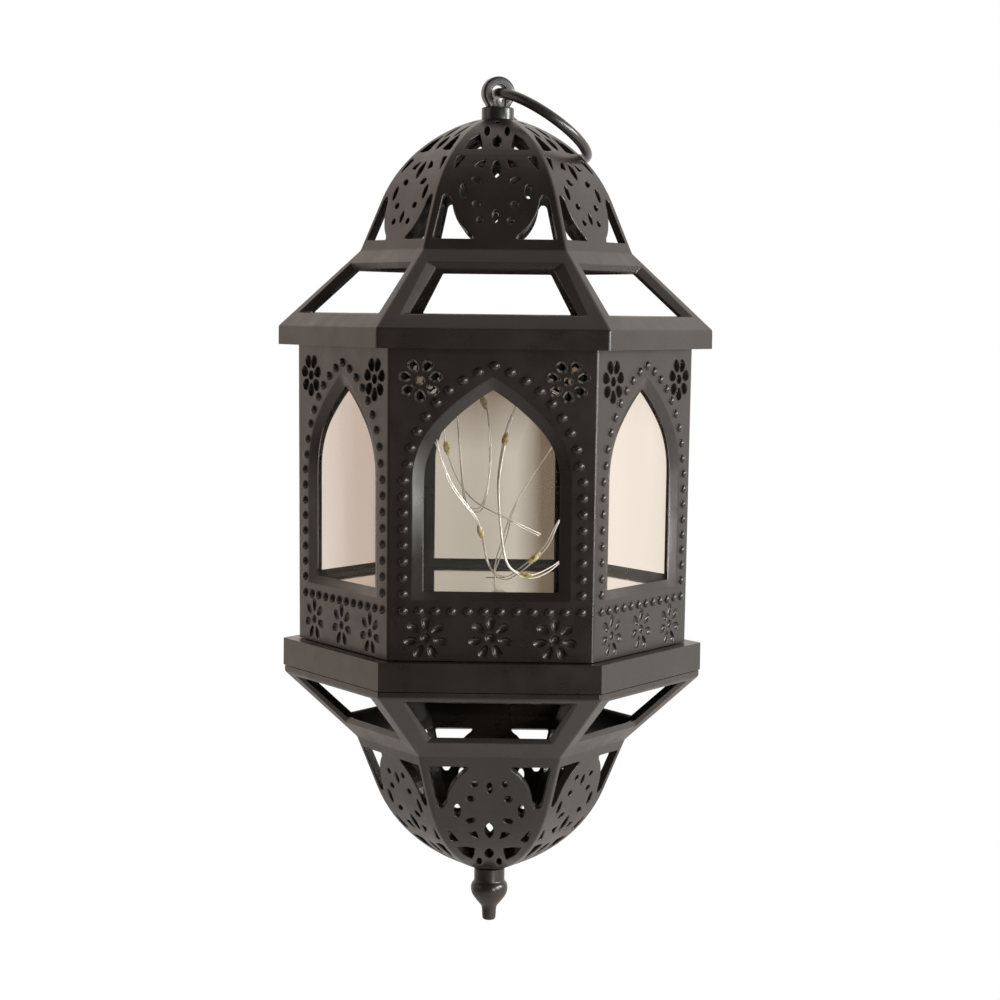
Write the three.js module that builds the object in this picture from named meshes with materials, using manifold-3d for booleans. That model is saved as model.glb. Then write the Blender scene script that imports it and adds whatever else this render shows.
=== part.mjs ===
// Hexagonal hanging lantern with a string of small battery lights inside.
// Millimetres, +Z up. The origin is the centre of the hole in the hanging eye,
// and one flat side of the hexagon faces -Y.
import * as THREE from 'three';
import { mergeVertices } from 'three/addons/utils/BufferGeometryUtils.js';
import Module from 'manifold-3d';

const wasm = await Module();
wasm.setup();

// Driving dimensions: heights
const COLLAR_TOP = -5.0;
const KNEE_TOP = -56.5;
const EAVE_TOP = -83.65;
const EAVE_BOTTOM = -90.3;
const BODY_BOTTOM = -196.6;
const SEAM = -206.4;
const BOWL_RIM_BOTTOM = -208.7;
const KNEE_BOTTOM = -232.4;

// Driving dimensions: radii to the corners of the hexagon
const KNEE_R = 48.9;
const BODY_TOP_R = 70.9;
const BODY_TAPER = 0.95;
const EAVE_OVERHANG = 7.3;
const TRAY_STEP = 5.65;
const BOWL_STEP = 0.3;

// Walls and clearances
const WALL = 2.8;
const GAP = 0.3;
const SIDES = 6;
const CUT = 2;

// The vault of the dome, which the bowl repeats upside down: a straight foot, then a curve
const VAULT_HEIGHT = 47.2;
const VAULT_TOP_R = 6;
const VAULT_FOOT = new THREE.Vector2(41.5, 18);
const VAULT_PULL_1 = new THREE.Vector2(31.9, 41.3);
const VAULT_PULL_2 = new THREE.Vector2(8, 47.6);
const VAULT_STEPS = 5;

// Windows in the sloping parts: heights, half widths, and how far their bevel reaches in from each edge
const ROOF_WINDOW = {
  top: -61, bottom: -79, halfTop: 23.3, halfBottom: 31.6, bevel: { top: 0.9, bottom: 1.6, side: 3.0 },
};
const BOWL_WINDOW = {
  top: -209.9, bottom: -226.4, halfTop: 30, halfBottom: 21.9, bevel: { top: 2.4, bottom: 1.4, side: 2 },
};
const BEVEL_DEPTH = 2.0;

// Arched windows in the walls
const ARCH_HALF = 23;
const ARCH_SPRING = -135;
const ARCH_SILL = -172.7;
const ARCH_R1 = 26;
const ARCH_TURN = THREE.MathUtils.degToRad(42.3);
const ARCH_R2 = 72;
const ARCH_BEVEL = 4;
const SILL_BEVEL = 3;
const ARCH_STEPS = 3;
const PANE = { top: -90.6, half: 32.4, thick: 0.8, sillLap: 1.6 };
const ROOF_SHELF = { below: 3.2, thick: 2.6, inset: 4.5 };

// Pierced flowers above each arch
const FLOWER_X = 25.1;
const FLOWER_Z = -101.1;
const FLOWER_PETALS = 7;
const FLOWER_HUB = 1.5;
const PETAL_IN = 2.9;
const PETAL_OUT = 7.5;
const PETAL_HALF = 1.6;

// Hanging eye and ring
const EYE_R = 5.97;
const EYE_HOLE_R = 2.9;
const EYE_THICK = 4;
const EYE_TURN = THREE.MathUtils.degToRad(20);
const EYE_LEAVE = THREE.MathUtils.degToRad(39);
const EYE_FOOT = 3.6;
const EYE_CHAMFER = 0.8;
const HOLE_LEAVE = THREE.MathUtils.degToRad(49);
const HOLE_FOOT = 1.9;
const HOLE_FLARE = 0.5;
const COLLAR_R = 5.8;
const STUD_R = 2;
const STUD_LENGTH = 10;
const WASHER_R = 4.4;
const WASHER_THICK = 0.8;
const NUT_R = 3.6;
const NUT_THICK = 3.2;
const RING_WIRE_R = 1.85;
const RING_R = 19.8;
const RING_DROP = THREE.MathUtils.degToRad(34.4);

// Tray, floor and bowl
const FLOOR_TOP = -175.1;
const FLOOR_THICK = 1.5;
const DECK_THICK = 2.4;
const DECK_WALL = 2.2;
const RIM_WALL = 2.6;
const SPIGOT_RISE = 4.5;
const SPIGOT_WALL = 1.8;
const SLOT = { x: 0.8, y: 12.4, length: 6.7, width: 3 };

// Finial under the bowl
const FINIAL_NECK_R = 5.55;
const FINIAL_BALL_R = 6.7;
const FINIAL_TIP_R = 2.5;
const FINIAL_NECK = 4.6;
const FINIAL_LENGTH = 19.9;
const FINIAL_SCREW_BITE = 7;

// Battery box with three small round cells, and the switch beside them
const CELL_R = 5.25;
const CELL_LENGTH = 44.5;
const CELL_SPACE = 0.7;
const CELLS = 3;
const NUB = { radius: 1.9, rise: 0.9 };
const CONTACT = {
  thick: 0.5, half: 4.4, bump: 0.6, bumpBase: 2.2, bumpTip: 1.8, springBase: 3.6, springTip: 2.2,
};
const BOX_WALL = 1.6;
const SPRING_ROOM = 7.5;
const BAY_SLACK = 0.4;
const CELL_HEADROOM = 0.5;
const SWITCH_BAY_WIDTH = 10;
const EAR = { reach: 6.5, width: 9, thick: 2.2, y: 12 };
const SCREW_R = 1.1;
const SCREW_HEAD_R = 2.1;
const SCREW_HEAD = 1.5;
const SCREW_BITE = 1.7;
const COVER_THICK = 1.6;
const HINGE_TAB = { length: 5.4, x: 15, radius: 0.7 };
const LATCH = { length: 8, reach: 1.1, thick: 0.9 };
const BOARD = { length: 32, width: 8.4, thick: 1.2 };
const SWITCH_BODY = { length: 13, width: 6, height: 5 };
const KNOB = { length: 4, width: 2.6, rise: 2.4, sunk: 2 };
const KNOB_TRAVEL = 4;

// Light string: a thin wire pair, cut into steps, and the steps that carry a lamp
const WIRE_R = 0.45;
const WIRE_STEPS = 80;
const LAMP_R = 1.25;
const LAMP_LENGTH = 4.3;
const LAMP_STEPS = [11, 17, 25, 30, 35, 42, 49, 66, 72];

// Derived sizes
const COS30 = Math.cos(Math.PI / SIDES);
const BODY_BOTTOM_R = BODY_TOP_R - BODY_TAPER;
const EAVE_R = BODY_TOP_R + EAVE_OVERHANG;
const TRAY_R = BODY_BOTTOM_R + TRAY_STEP;
const BOWL_RIM_R = TRAY_R - BOWL_STEP;
const DOME_TOP = KNEE_TOP + VAULT_HEIGHT;
const BODY_TOP = EAVE_TOP - ROOF_SHELF.below;
const BOWL_END = KNEE_BOTTOM - VAULT_HEIGHT;
const DECK_TOP = FLOOR_TOP - FLOOR_THICK;
const DECK_BOTTOM = DECK_TOP - DECK_THICK;
const DECK_R = BODY_BOTTOM_R - (WALL + GAP) / COS30;
const SPIGOT_R = TRAY_R - RIM_WALL - GAP / COS30;
const CELL_PITCH = 2 * CELL_R + CELL_SPACE;
const CELL_BAY = { length: CELL_LENGTH + SPRING_ROOM, width: CELLS * CELL_PITCH + BAY_SLACK };
const BOX_HEIGHT = BOX_WALL + CELL_HEADROOM + 2 * CELL_R + GAP + COVER_THICK;
const BOX_BOTTOM = DECK_BOTTOM - BOX_HEIGHT;
const BOX_FRONT = -(SWITCH_BAY_WIDTH + CELL_BAY.width + 3 * BOX_WALL) / 2;
const CELL_BAY_FRONT = BOX_FRONT + SWITCH_BAY_WIDTH + 2 * BOX_WALL;
const CELL_BAY_BACK = CELL_BAY_FRONT + CELL_BAY.width;
const CELL_Z = BOX_BOTTOM + COVER_THICK + GAP + CELL_R;
const CELL_SHIFT = (CELL_BAY.length - CELL_LENGTH) / 2 - CONTACT.thick - GAP - CONTACT.bump;
const SPRING_LENGTH = CELL_BAY.length - CELL_LENGTH - 2 * (CONTACT.thick + GAP) - CONTACT.bump;
const HINGE_Z = BOX_BOTTOM + COVER_THICK / 2;
const HINGE_Y = CELL_BAY_BACK + BOX_WALL / 2;
const SWITCH_Y = BOX_FRONT + BOX_WALL + SWITCH_BAY_WIDTH / 2;
const SWITCH_BOTTOM = BOX_BOTTOM + BOX_WALL;
const SWITCH_TOP = SWITCH_BOTTOM + SWITCH_BODY.height;
const SCREW_X = CELL_BAY.length / 2 + BOX_WALL + EAR.reach / 2;
const SCREWS = [[-SCREW_X, -EAR.y], [SCREW_X, -EAR.y], [-SCREW_X, EAR.y], [SCREW_X, EAR.y]];
const LEAD_DEPTH = 2 * WIRE_R + 0.5;
const LEAD_Y = SLOT.y - 0.6;

const lantern = new THREE.Group();

const finish = (color, roughness, metalness = 0) =>
  new THREE.MeshStandardMaterial({ color, roughness, metalness });
const blackPlastic = finish(0x2b2724, 0.5);
const blackMetal = finish(0x35322d, 0.4, 0.6);
const steel = finish(0xb9b6b0, 0.35, 1);
const clearFilm = finish(0xd8cfc4, 0.25);
const mirrorFilm = finish(0xc9c2ba, 0.12, 0.9);
const resin = finish(0xe3dcae, 0.2);
const greyPlastic = finish(0x8c8a86, 0.55);
const boardGreen = finish(0x2f5b3c, 0.5);
const cellJacket = finish(0x4a5a66, 0.4, 0.2);

// A closed triangle mesh with its faces turned outwards
function outward(geometry) {
  let source = geometry.clone();
  for (const name of Object.keys(source.attributes)) {
    if (name !== 'position') source.deleteAttribute(name);
  }
  source = mergeVertices(source, 1e-4);
  const position = source.attributes.position;
  const corners = [];
  let volume = 0;
  const a = new THREE.Vector3();
  const b = new THREE.Vector3();
  const c = new THREE.Vector3();
  for (let i = 0; i < source.index.count; i += 3) {
    const [p, q, r] = [0, 1, 2].map((k) => source.index.getX(i + k));
    if (p === q || q === r || r === p) continue;
    corners.push(p, q, r);
    a.fromBufferAttribute(position, p);
    b.fromBufferAttribute(position, q);
    c.fromBufferAttribute(position, r);
    volume += a.dot(b.cross(c));
  }
  if (volume < 0) corners.reverse();
  source.setIndex(corners);
  source.computeVertexNormals();
  return source;
}

function toSolid(geometry) {
  const closed = outward(geometry);
  return new wasm.Manifold(new wasm.Mesh({
    numProp: 3,
    vertProperties: new Float32Array(closed.attributes.position.array),
    triVerts: new Uint32Array(closed.index.array),
  }));
}

function toGeometry(solid) {
  const mesh = solid.getMesh();
  const geometry = new THREE.BufferGeometry();
  geometry.setAttribute('position', new THREE.BufferAttribute(mesh.vertProperties, 3));
  geometry.setIndex(new THREE.BufferAttribute(mesh.triVerts, 1));
  geometry.computeVertexNormals();
  return geometry;
}

function place(name, geometry, material, parent = lantern) {
  const mesh = new THREE.Mesh(geometry, material);
  mesh.name = name;
  parent.add(mesh);
  return mesh;
}

// A ring or body swept round Z from a closed outline of [radius, height] points.
// Six sides give corners on the X axis.
function turned(outline, sides) {
  const points = outline.map(([radius, height]) => new THREE.Vector2(radius, height));
  points.push(points[0].clone());
  const turn = sides === SIDES ? Math.PI / SIDES : 0;
  return new THREE.LatheGeometry(points, sides, turn).rotateX(Math.PI / 2);
}

const hexagonal = (outline) => turned(outline, SIDES);

function rod(radius, from, to, x = 0, y = 0, sides = 12) {
  const geometry = new THREE.CylinderGeometry(radius, radius, to - from, sides);
  return geometry.rotateX(Math.PI / 2).translate(x, y, (from + to) / 2);
}

function block(xs, ys, zs) {
  const geometry = new THREE.BoxGeometry(xs[1] - xs[0], ys[1] - ys[0], zs[1] - zs[0]);
  return geometry.translate((xs[0] + xs[1]) / 2, (ys[0] + ys[1]) / 2, (zs[0] + zs[1]) / 2);
}

const cutAll = (solid, cutters) => cutters.reduce((left, cutter) => left.subtract(toSolid(cutter)), solid);
const joinAll = (solids) => solids.reduce((all, solid) => all.add(solid));

// A closed skin through rings of equal point counts; the flat outline tells how to close its ends
function loft(rings, flat) {
  if (THREE.ShapeUtils.isClockWise(flat)) {
    return loft(rings.map((ring) => [...ring].reverse()), [...flat].reverse());
  }
  const count = flat.length;
  const positions = rings.flat().flatMap((point) => point.toArray());
  const faces = [];
  for (let ring = 0; ring + 1 < rings.length; ring++) {
    for (let i = 0; i < count; i++) {
      const next = (i + 1) % count;
      const [a, b] = [ring * count + i, ring * count + next];
      faces.push(a, b, b + count, a, b + count, a + count);
    }
  }
  const last = (rings.length - 1) * count;
  for (const [a, b, c] of THREE.ShapeUtils.triangulateShape(flat, [])) {
    faces.push(c, b, a, last + a, last + b, last + c);
  }
  const geometry = new THREE.BufferGeometry();
  geometry.setAttribute('position', new THREE.Float32BufferAttribute(positions, 3));
  geometry.setIndex(faces);
  return geometry;
}

// A cutter through the front wall. Each ring is [outline, depth]; the outline's points are
// (across, height), and apothem(height) is the distance of the wall's outer face from the axis.
function wallCutter(rings, apothem) {
  const flat = rings[0][0];
  const middle = flat.reduce((sum, point) => sum + point.y, 0) / flat.length;
  const slope = (apothem(middle + 1) - apothem(middle - 1)) / 2;
  const normal = new THREE.Vector3(0, -1, -slope).normalize();
  const layers = rings.map(([outline, depth]) => outline.map((point) =>
    new THREE.Vector3(point.x, -apothem(point.y), point.y).addScaledVector(normal, -depth)));
  return loft(layers, flat);
}

// Copies of the cutters on all six sides
function onEverySide(cutters) {
  const copies = [];
  for (let side = 0; side < SIDES; side++) {
    for (const cutter of cutters) copies.push(cutter.clone().rotateZ(side * Math.PI / 3));
  }
  return copies;
}

const between = (height, z1, r1, z2, r2) => r1 + (r2 - r1) * (height - z1) / (z2 - z1);
const mirrored = (outline) => outline.map((point) => new THREE.Vector2(-point.x, point.y)).reverse();

function ellipse(x, height, halfWidth, halfHeight, tilt = 0, points = 6) {
  const outline = [];
  for (let i = 0; i < points; i++) {
    const angle = 2 * Math.PI * i / points;
    const point = new THREE.Vector2(halfWidth * Math.cos(angle), halfHeight * Math.sin(angle));
    outline.push(point.rotateAround(new THREE.Vector2(), tilt).add(new THREE.Vector2(x, height)));
  }
  return outline;
}

const diamond = (height, halfWidth, halfHeight) => ellipse(0, height, halfWidth, halfHeight, 0, 4);
const polygon = (points) => points.map(([x, height]) => new THREE.Vector2(x, height));

// The vault's outline as [corner radius, height above the knee], and its pierced pattern
function vaultOutline() {
  const top = new THREE.Vector2(VAULT_TOP_R, VAULT_HEIGHT);
  const curve = new THREE.CubicBezierCurve(VAULT_FOOT, VAULT_PULL_1, VAULT_PULL_2, top);
  const outline = [new THREE.Vector2(KNEE_R, 0)];
  return outline.concat(curve.getPoints(VAULT_STEPS));
}

function vaultInside(outer) {
  const inside = [];
  for (let i = 1; i < outer.length - 1; i++) {
    const before = outer[i - 1];
    const after = outer[i + 1];
    const run = new THREE.Vector2((after.x - before.x) * COS30, after.y - before.y).normalize();
    const point = new THREE.Vector2(outer[i].x - WALL * run.y / COS30, outer[i].y + WALL * run.x);
    if (point.y < VAULT_HEIGHT - WALL) inside.push(point);
  }
  return inside;
}

function vaultRadius(outline, height) {
  if (height <= 0) return outline[0].x - height * (outline[0].x - outline[1].x) / outline[1].y;
  for (let i = 1; i < outline.length; i++) {
    const [low, high] = [outline[i - 1], outline[i]];
    if (height <= high.y) return between(height, low.y, low.x, high.y, high.x);
  }
  return outline.at(-1).x;
}

// One large gap beside the round medallion, from its edge out to the rib
function sideGap() {
  const medallion = { height: 18.8, halfWidth: 15.2, halfHeight: 16.2 };
  const foot = 3.7;
  const outline = [[21.5, foot], [18.3, 18.1], [17.2, 19.1], [15.8, 18.9]];
  for (const height of [16, 10]) {
    const share = (height - medallion.height) / medallion.halfHeight;
    outline.push([medallion.halfWidth * Math.sqrt(1 - share * share), height]);
  }
  outline.push([7.1, foot]);
  return polygon(outline);
}

function vaultPattern() {
  const pairs = [
    sideGap(),
    ellipse(11.2, 20.2, 1.2, 2.5, 0, 4),
    ellipse(6.6, 24.0, 1.8, 1.0, 0.3, 4),
    polygon([[3.6, 31.5], [7.6, 29.0], [4.6, 28.5]]),
    polygon([[10.8, 32.4], [13.6, 32.4], [14.7, 27.6]]),
    polygon([[5.0, 35.6], [6.1, 41.0], [11.5, 35.2]]),
  ];
  const middle = [diamond(28.1, 1.6, 3.1), diamond(38.0, 1.65, 2.4)];
  return [...pairs, ...pairs.map(mirrored), ...middle];
}

// Cutters for the vault. up is 1 for the dome and -1 for the bowl, knee is the height of its foot.
function vaultCutters(knee, up) {
  const outline = vaultOutline();
  const apothem = (z) => vaultRadius(outline, (z - knee) * up) * COS30;
  return vaultPattern().map((hole) => {
    const placed = hole.map((point) => new THREE.Vector2(point.x, knee + up * point.y));
    return wallCutter([[placed, -CUT], [placed, WALL + CUT]], apothem);
  });
}

// A bevelled trapezoid window in a sloping side
function slopeWindow({ top, bottom, halfTop, halfBottom, bevel }, apothem) {
  const trapezoid = (share) => polygon([
    [-halfBottom + share * bevel.side, bottom + share * bevel.bottom],
    [halfBottom - share * bevel.side, bottom + share * bevel.bottom],
    [halfTop - share * bevel.side, top - share * bevel.top],
    [-halfTop + share * bevel.side, top - share * bevel.top],
  ]);
  const narrow = trapezoid(1);
  const wide = trapezoid(-1);
  return wallCutter([[wide, -BEVEL_DEPTH], [narrow, BEVEL_DEPTH], [narrow, WALL + CUT]], apothem);
}

// The sloping face between two corners of its outline, moved inwards by the wall
function slopeInside(high, low) {
  const run = new THREE.Vector2((low[0] - high[0]) * COS30, low[1] - high[1]).normalize();
  const side = Math.sign(run.x);
  const shift = ([radius, z]) => [radius - Math.abs(run.y) * WALL / COS30, z - side * Math.abs(run.x) * WALL];
  return [shift(high), shift(low)];
}

function roof() {
  const vault = vaultOutline();
  const outside = vault.map((point) => [point.x, KNEE_TOP + point.y]).reverse();
  const inside = vaultInside(vault).map((point) => [point.x, KNEE_TOP + point.y]);
  const [kneeIn, eaveIn] = slopeInside([KNEE_R, KNEE_TOP], [EAVE_R, EAVE_TOP]);
  const shelfIn = BODY_TOP_R - ROOF_SHELF.inset;
  const shelfBottom = BODY_TOP + GAP;
  const shelfTop = shelfBottom + ROOF_SHELF.thick;
  const shelfOut = between(shelfTop, kneeIn[1], kneeIn[0], eaveIn[1], eaveIn[0]);
  const outline = [
    [0, KNEE_TOP + VAULT_HEIGHT], ...outside,
    [EAVE_R, EAVE_TOP], [EAVE_R, EAVE_BOTTOM],
    [EAVE_R - WALL, EAVE_BOTTOM], [EAVE_R - WALL, shelfBottom],
    [shelfIn, shelfBottom], [shelfIn, shelfTop], [shelfOut, shelfTop],
    kneeIn, ...inside,
    [0, KNEE_TOP + VAULT_HEIGHT - WALL],
  ];
  const slope = (z) => between(z, KNEE_TOP, KNEE_R, EAVE_TOP, EAVE_R) * COS30;
  const cutters = onEverySide([...vaultCutters(KNEE_TOP, 1), slopeWindow(ROOF_WINDOW, slope)]);
  cutters.push(rod(STUD_R + GAP, DOME_TOP - WALL - CUT, DOME_TOP + CUT));
  return toGeometry(cutAll(toSolid(hexagonal(outline)), cutters));
}

// An arched loop in the (across, height) plane: an arc over the top, then two legs down to the foot
function loopOutline(radius, leave, halfFoot, foot) {
  const steps = 12;
  const outline = [];
  for (let i = 0; i <= steps; i++) {
    const angle = -leave + (Math.PI + 2 * leave) * i / steps;
    outline.push([radius * Math.cos(angle), radius * Math.sin(angle)]);
  }
  return polygon([...outline, [-halfFoot, foot], [halfFoot, foot]]);
}

// The hanging eye: a flat loop on a round collar, with a threaded stud through the dome
function eye() {
  const edge = EYE_THICK / 2;
  const layer = (outline, y) => outline.map((point) => new THREE.Vector3(point.x, y, point.y));
  const outer = (inset) => loopOutline(EYE_R - inset, EYE_LEAVE, EYE_FOOT - inset, COLLAR_TOP - 0.5);
  const inner = (flare) => loopOutline(EYE_HOLE_R + flare, HOLE_LEAVE, HOLE_FOOT + flare, COLLAR_TOP + 0.2);
  const body = loft([
    layer(outer(EYE_CHAMFER), -edge), layer(outer(0), EYE_CHAMFER - edge),
    layer(outer(0), edge - EYE_CHAMFER), layer(outer(EYE_CHAMFER), edge),
  ], outer(0));
  const hole = loft([
    layer(inner(HOLE_FLARE), -edge - 0.1), layer(inner(0), HOLE_FLARE - edge),
    layer(inner(0), edge - HOLE_FLARE), layer(inner(HOLE_FLARE), edge + 0.1),
  ], inner(0));
  const plate = toSolid(body.rotateZ(EYE_TURN)).subtract(toSolid(hole.rotateZ(EYE_TURN)));
  const collar = toSolid(rod(COLLAR_R, DOME_TOP, COLLAR_TOP, 0, 0, 24));
  const stud = toSolid(rod(STUD_R, DOME_TOP - STUD_LENGTH, DOME_TOP + 1));
  return toGeometry(joinAll([collar, plate, stud]));
}

function washer(inner, outer, top, thick, sides) {
  return outward(turned([[inner, top], [outer, top], [outer, top - thick], [inner, top - thick]], sides));
}

// The loose ring hangs in the eye and lies on the dome
function hangingRing() {
  const geometry = new THREE.TorusGeometry(RING_R, RING_WIRE_R, 8, 30);
  return outward(geometry.translate(RING_R, 0, 0).rotateY(RING_DROP).rotateZ(EYE_TURN));
}

// Arched outline, grown by grow at the sides and by growSill at the foot
function archOutline(grow, growSill = grow) {
  const [r1, r2] = [ARCH_R1 + grow, ARCH_R2 + grow];
  const centre1 = new THREE.Vector2(ARCH_HALF - ARCH_R1, ARCH_SPRING);
  const along = new THREE.Vector2(Math.cos(ARCH_TURN), Math.sin(ARCH_TURN));
  const centre2 = centre1.clone().addScaledVector(along, ARCH_R1 - ARCH_R2);
  const apex = Math.acos(-centre2.x / r2);
  const right = [new THREE.Vector2(ARCH_HALF + grow, ARCH_SILL - growSill)];
  for (let i = 0; i <= ARCH_STEPS; i++) {
    const angle = ARCH_TURN * i / ARCH_STEPS;
    right.push(new THREE.Vector2(centre1.x + r1 * Math.cos(angle), centre1.y + r1 * Math.sin(angle)));
  }
  for (let i = 1; i < ARCH_STEPS; i++) {
    const angle = ARCH_TURN + (apex - ARCH_TURN) * i / ARCH_STEPS;
    right.push(new THREE.Vector2(centre2.x + r2 * Math.cos(angle), centre2.y + r2 * Math.sin(angle)));
  }
  const top = new THREE.Vector2(0, centre2.y + r2 * Math.sin(apex));
  return [...right, top, ...mirrored(right)];
}

// A pierced flower: seven petals, one of them pointing down, round a hub
function flower(x, z) {
  const holes = [ellipse(x, z, FLOWER_HUB, FLOWER_HUB, 0, 4)];
  const centre = new THREE.Vector2();
  for (let i = 0; i < FLOWER_PETALS; i++) {
    const angle = -Math.PI / 2 + 2 * Math.PI * i / FLOWER_PETALS;
    const petal = polygon([[PETAL_IN, 0], [PETAL_OUT, -PETAL_HALF], [PETAL_OUT, PETAL_HALF]]);
    holes.push(petal.map((point) => point.rotateAround(centre, angle).add(new THREE.Vector2(x, z))));
  }
  return holes;
}

const bodyRadius = (z) => between(z, EAVE_BOTTOM, BODY_TOP_R, BODY_BOTTOM, BODY_BOTTOM_R);

function bodyShell() {
  const foot = BODY_BOTTOM + GAP;
  const thick = WALL / COS30;
  const outline = [
    [bodyRadius(BODY_TOP), BODY_TOP], [bodyRadius(foot), foot],
    [bodyRadius(foot) - thick, foot], [bodyRadius(BODY_TOP) - thick, BODY_TOP],
  ];
  const apothem = (z) => bodyRadius(z) * COS30;
  const wide = archOutline(2 * ARCH_BEVEL, 2 * SILL_BEVEL);
  const narrow = archOutline(0);
  const arch = wallCutter([[wide, -BEVEL_DEPTH], [narrow, BEVEL_DEPTH], [narrow, WALL + CUT]], apothem);
  const flowers = [...flower(-FLOWER_X, FLOWER_Z), ...flower(FLOWER_X, FLOWER_Z)];
  const holes = flowers.map((hole) => wallCutter([[hole, -CUT], [hole, WALL + CUT]], apothem));
  return toGeometry(cutAll(toSolid(hexagonal(outline)), onEverySide([arch, ...holes])));
}

// A sheet of film behind the arch and the flowers of one wall
function windowPane() {
  const foot = ARCH_SILL - PANE.sillLap;
  const outline = polygon([[-PANE.half, foot], [PANE.half, foot], [PANE.half, PANE.top], [-PANE.half, PANE.top]]);
  const apothem = (z) => bodyRadius(z) * COS30 - WALL - GAP;
  return outward(wallCutter([[outline, 0], [outline, PANE.thick]], apothem));
}

function slotCutter(bottom, top) {
  const [l, w] = [SLOT.length / 2, SLOT.width / 2];
  return block([SLOT.x - l, SLOT.x + l], [SLOT.y - w, SLOT.y + w], [bottom, top]);
}

// Tray that closes the body from below and carries the floor and the battery box
function baseTray() {
  const ledge = 3;
  const outline = [
    [0, DECK_TOP], [DECK_R, DECK_TOP], [DECK_R, BODY_BOTTOM], [TRAY_R, BODY_BOTTOM],
    [TRAY_R, SEAM], [TRAY_R - RIM_WALL, SEAM], [TRAY_R - RIM_WALL, BODY_BOTTOM - ledge],
    [DECK_R - DECK_WALL, BODY_BOTTOM - ledge], [DECK_R - DECK_WALL, DECK_BOTTOM], [0, DECK_BOTTOM],
  ];
  const groove = block(
    [SLOT.x - WIRE_R - GAP, SLOT.x + WIRE_R + GAP],
    [CELL_BAY_FRONT - BOX_WALL - 4, SLOT.y], [DECK_BOTTOM - CUT, DECK_BOTTOM + LEAD_DEPTH],
  );
  const pilotEnd = DECK_BOTTOM + SCREW_BITE + GAP;
  const pilots = SCREWS.map(([x, y]) => rod(SCREW_R + GAP, DECK_BOTTOM - CUT, pilotEnd, x, y, 10));
  const cutters = [slotCutter(DECK_BOTTOM - CUT, DECK_TOP + CUT), groove, ...pilots];
  return toGeometry(cutAll(toSolid(hexagonal(outline)), cutters));
}

function mirrorFloor() {
  const radius = DECK_R - 0.4;
  const plate = hexagonal([[0, FLOOR_TOP], [radius, FLOOR_TOP], [radius, DECK_TOP], [0, DECK_TOP]]);
  return toGeometry(cutAll(toSolid(plate), [slotCutter(DECK_TOP - CUT, FLOOR_TOP + CUT)]));
}

// The pierced bowl hangs on the tray by a spigot inside the tray's rim
function lowerBowl() {
  const vault = vaultOutline();
  const outside = vault.map((point) => [point.x, KNEE_BOTTOM - point.y]);
  const inside = vaultInside(vault).map((point) => [point.x, KNEE_BOTTOM - point.y]).reverse();
  const [rimIn, kneeIn] = slopeInside([BOWL_RIM_R, BOWL_RIM_BOTTOM], [KNEE_R, KNEE_BOTTOM]);
  const top = SEAM - GAP;
  const spigotIn = SPIGOT_R - SPIGOT_WALL;
  const spigotFoot = between(spigotIn, rimIn[0], rimIn[1], kneeIn[0], kneeIn[1]);
  const outline = [
    [SPIGOT_R, top], [BOWL_RIM_R, top], [BOWL_RIM_R, BOWL_RIM_BOTTOM], ...outside,
    [0, BOWL_END], [0, BOWL_END + WALL], ...inside,
    kneeIn, [spigotIn, Math.min(spigotFoot, top - 1)],
    [spigotIn, SEAM + SPIGOT_RISE], [SPIGOT_R, SEAM + SPIGOT_RISE],
  ];
  const slope = (z) => between(z, KNEE_BOTTOM, KNEE_R, BOWL_RIM_BOTTOM, BOWL_RIM_R) * COS30;
  const cutters = onEverySide([...vaultCutters(KNEE_BOTTOM, -1), slopeWindow(BOWL_WINDOW, slope)]);
  cutters.push(rod(SCREW_R + GAP, BOWL_END - CUT, BOWL_END + WALL + CUT));
  return toGeometry(cutAll(toSolid(hexagonal(outline)), cutters));
}

function finial() {
  const top = BOWL_END - GAP;
  const ball = top - FINIAL_NECK - 2;
  const tip = top - FINIAL_LENGTH;
  const outline = [
    [0, top], [FINIAL_NECK_R, top], [FINIAL_NECK_R, top - FINIAL_NECK], [FINIAL_BALL_R, ball],
    [FINIAL_BALL_R * 0.97, ball - 1.6], [FINIAL_BALL_R * 0.86, ball - 3.4],
    [FINIAL_BALL_R * 0.62, ball - 5.4],
    [FINIAL_TIP_R * 1.1, ball - 7.6], [FINIAL_TIP_R, tip + 1.2], [FINIAL_TIP_R * 0.6, tip + 0.3], [0, tip],
  ];
  const hole = rod(SCREW_R + GAP, top - FINIAL_SCREW_BITE - GAP, top + CUT);
  return toGeometry(cutAll(toSolid(turned(outline, 20)), [hole]));
}

// A screw whose head seats at the given height; up is 1 when it points up and -1 when it points down
function screw(x, y, seat, bite, up) {
  const tip = seat + up * bite;
  const headEnd = seat - up * SCREW_HEAD;
  const shank = rod(SCREW_R, Math.min(seat, tip), Math.max(seat, tip), x, y, 8);
  const head = rod(SCREW_HEAD_R, Math.min(seat, headEnd), Math.max(seat, headEnd), x, y, 12);
  return toGeometry(toSolid(head).add(toSolid(shank)));
}

// The slot that the switch knob slides in, along X
function knobSlot(bottom, top) {
  const slotHalf = (KNOB.length + KNOB_TRAVEL) / 2 + GAP;
  const widthHalf = KNOB.width / 2 + GAP;
  return block([-slotHalf, slotHalf], [SWITCH_Y - widthHalf, SWITCH_Y + widthHalf], [bottom, top]);
}

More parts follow.
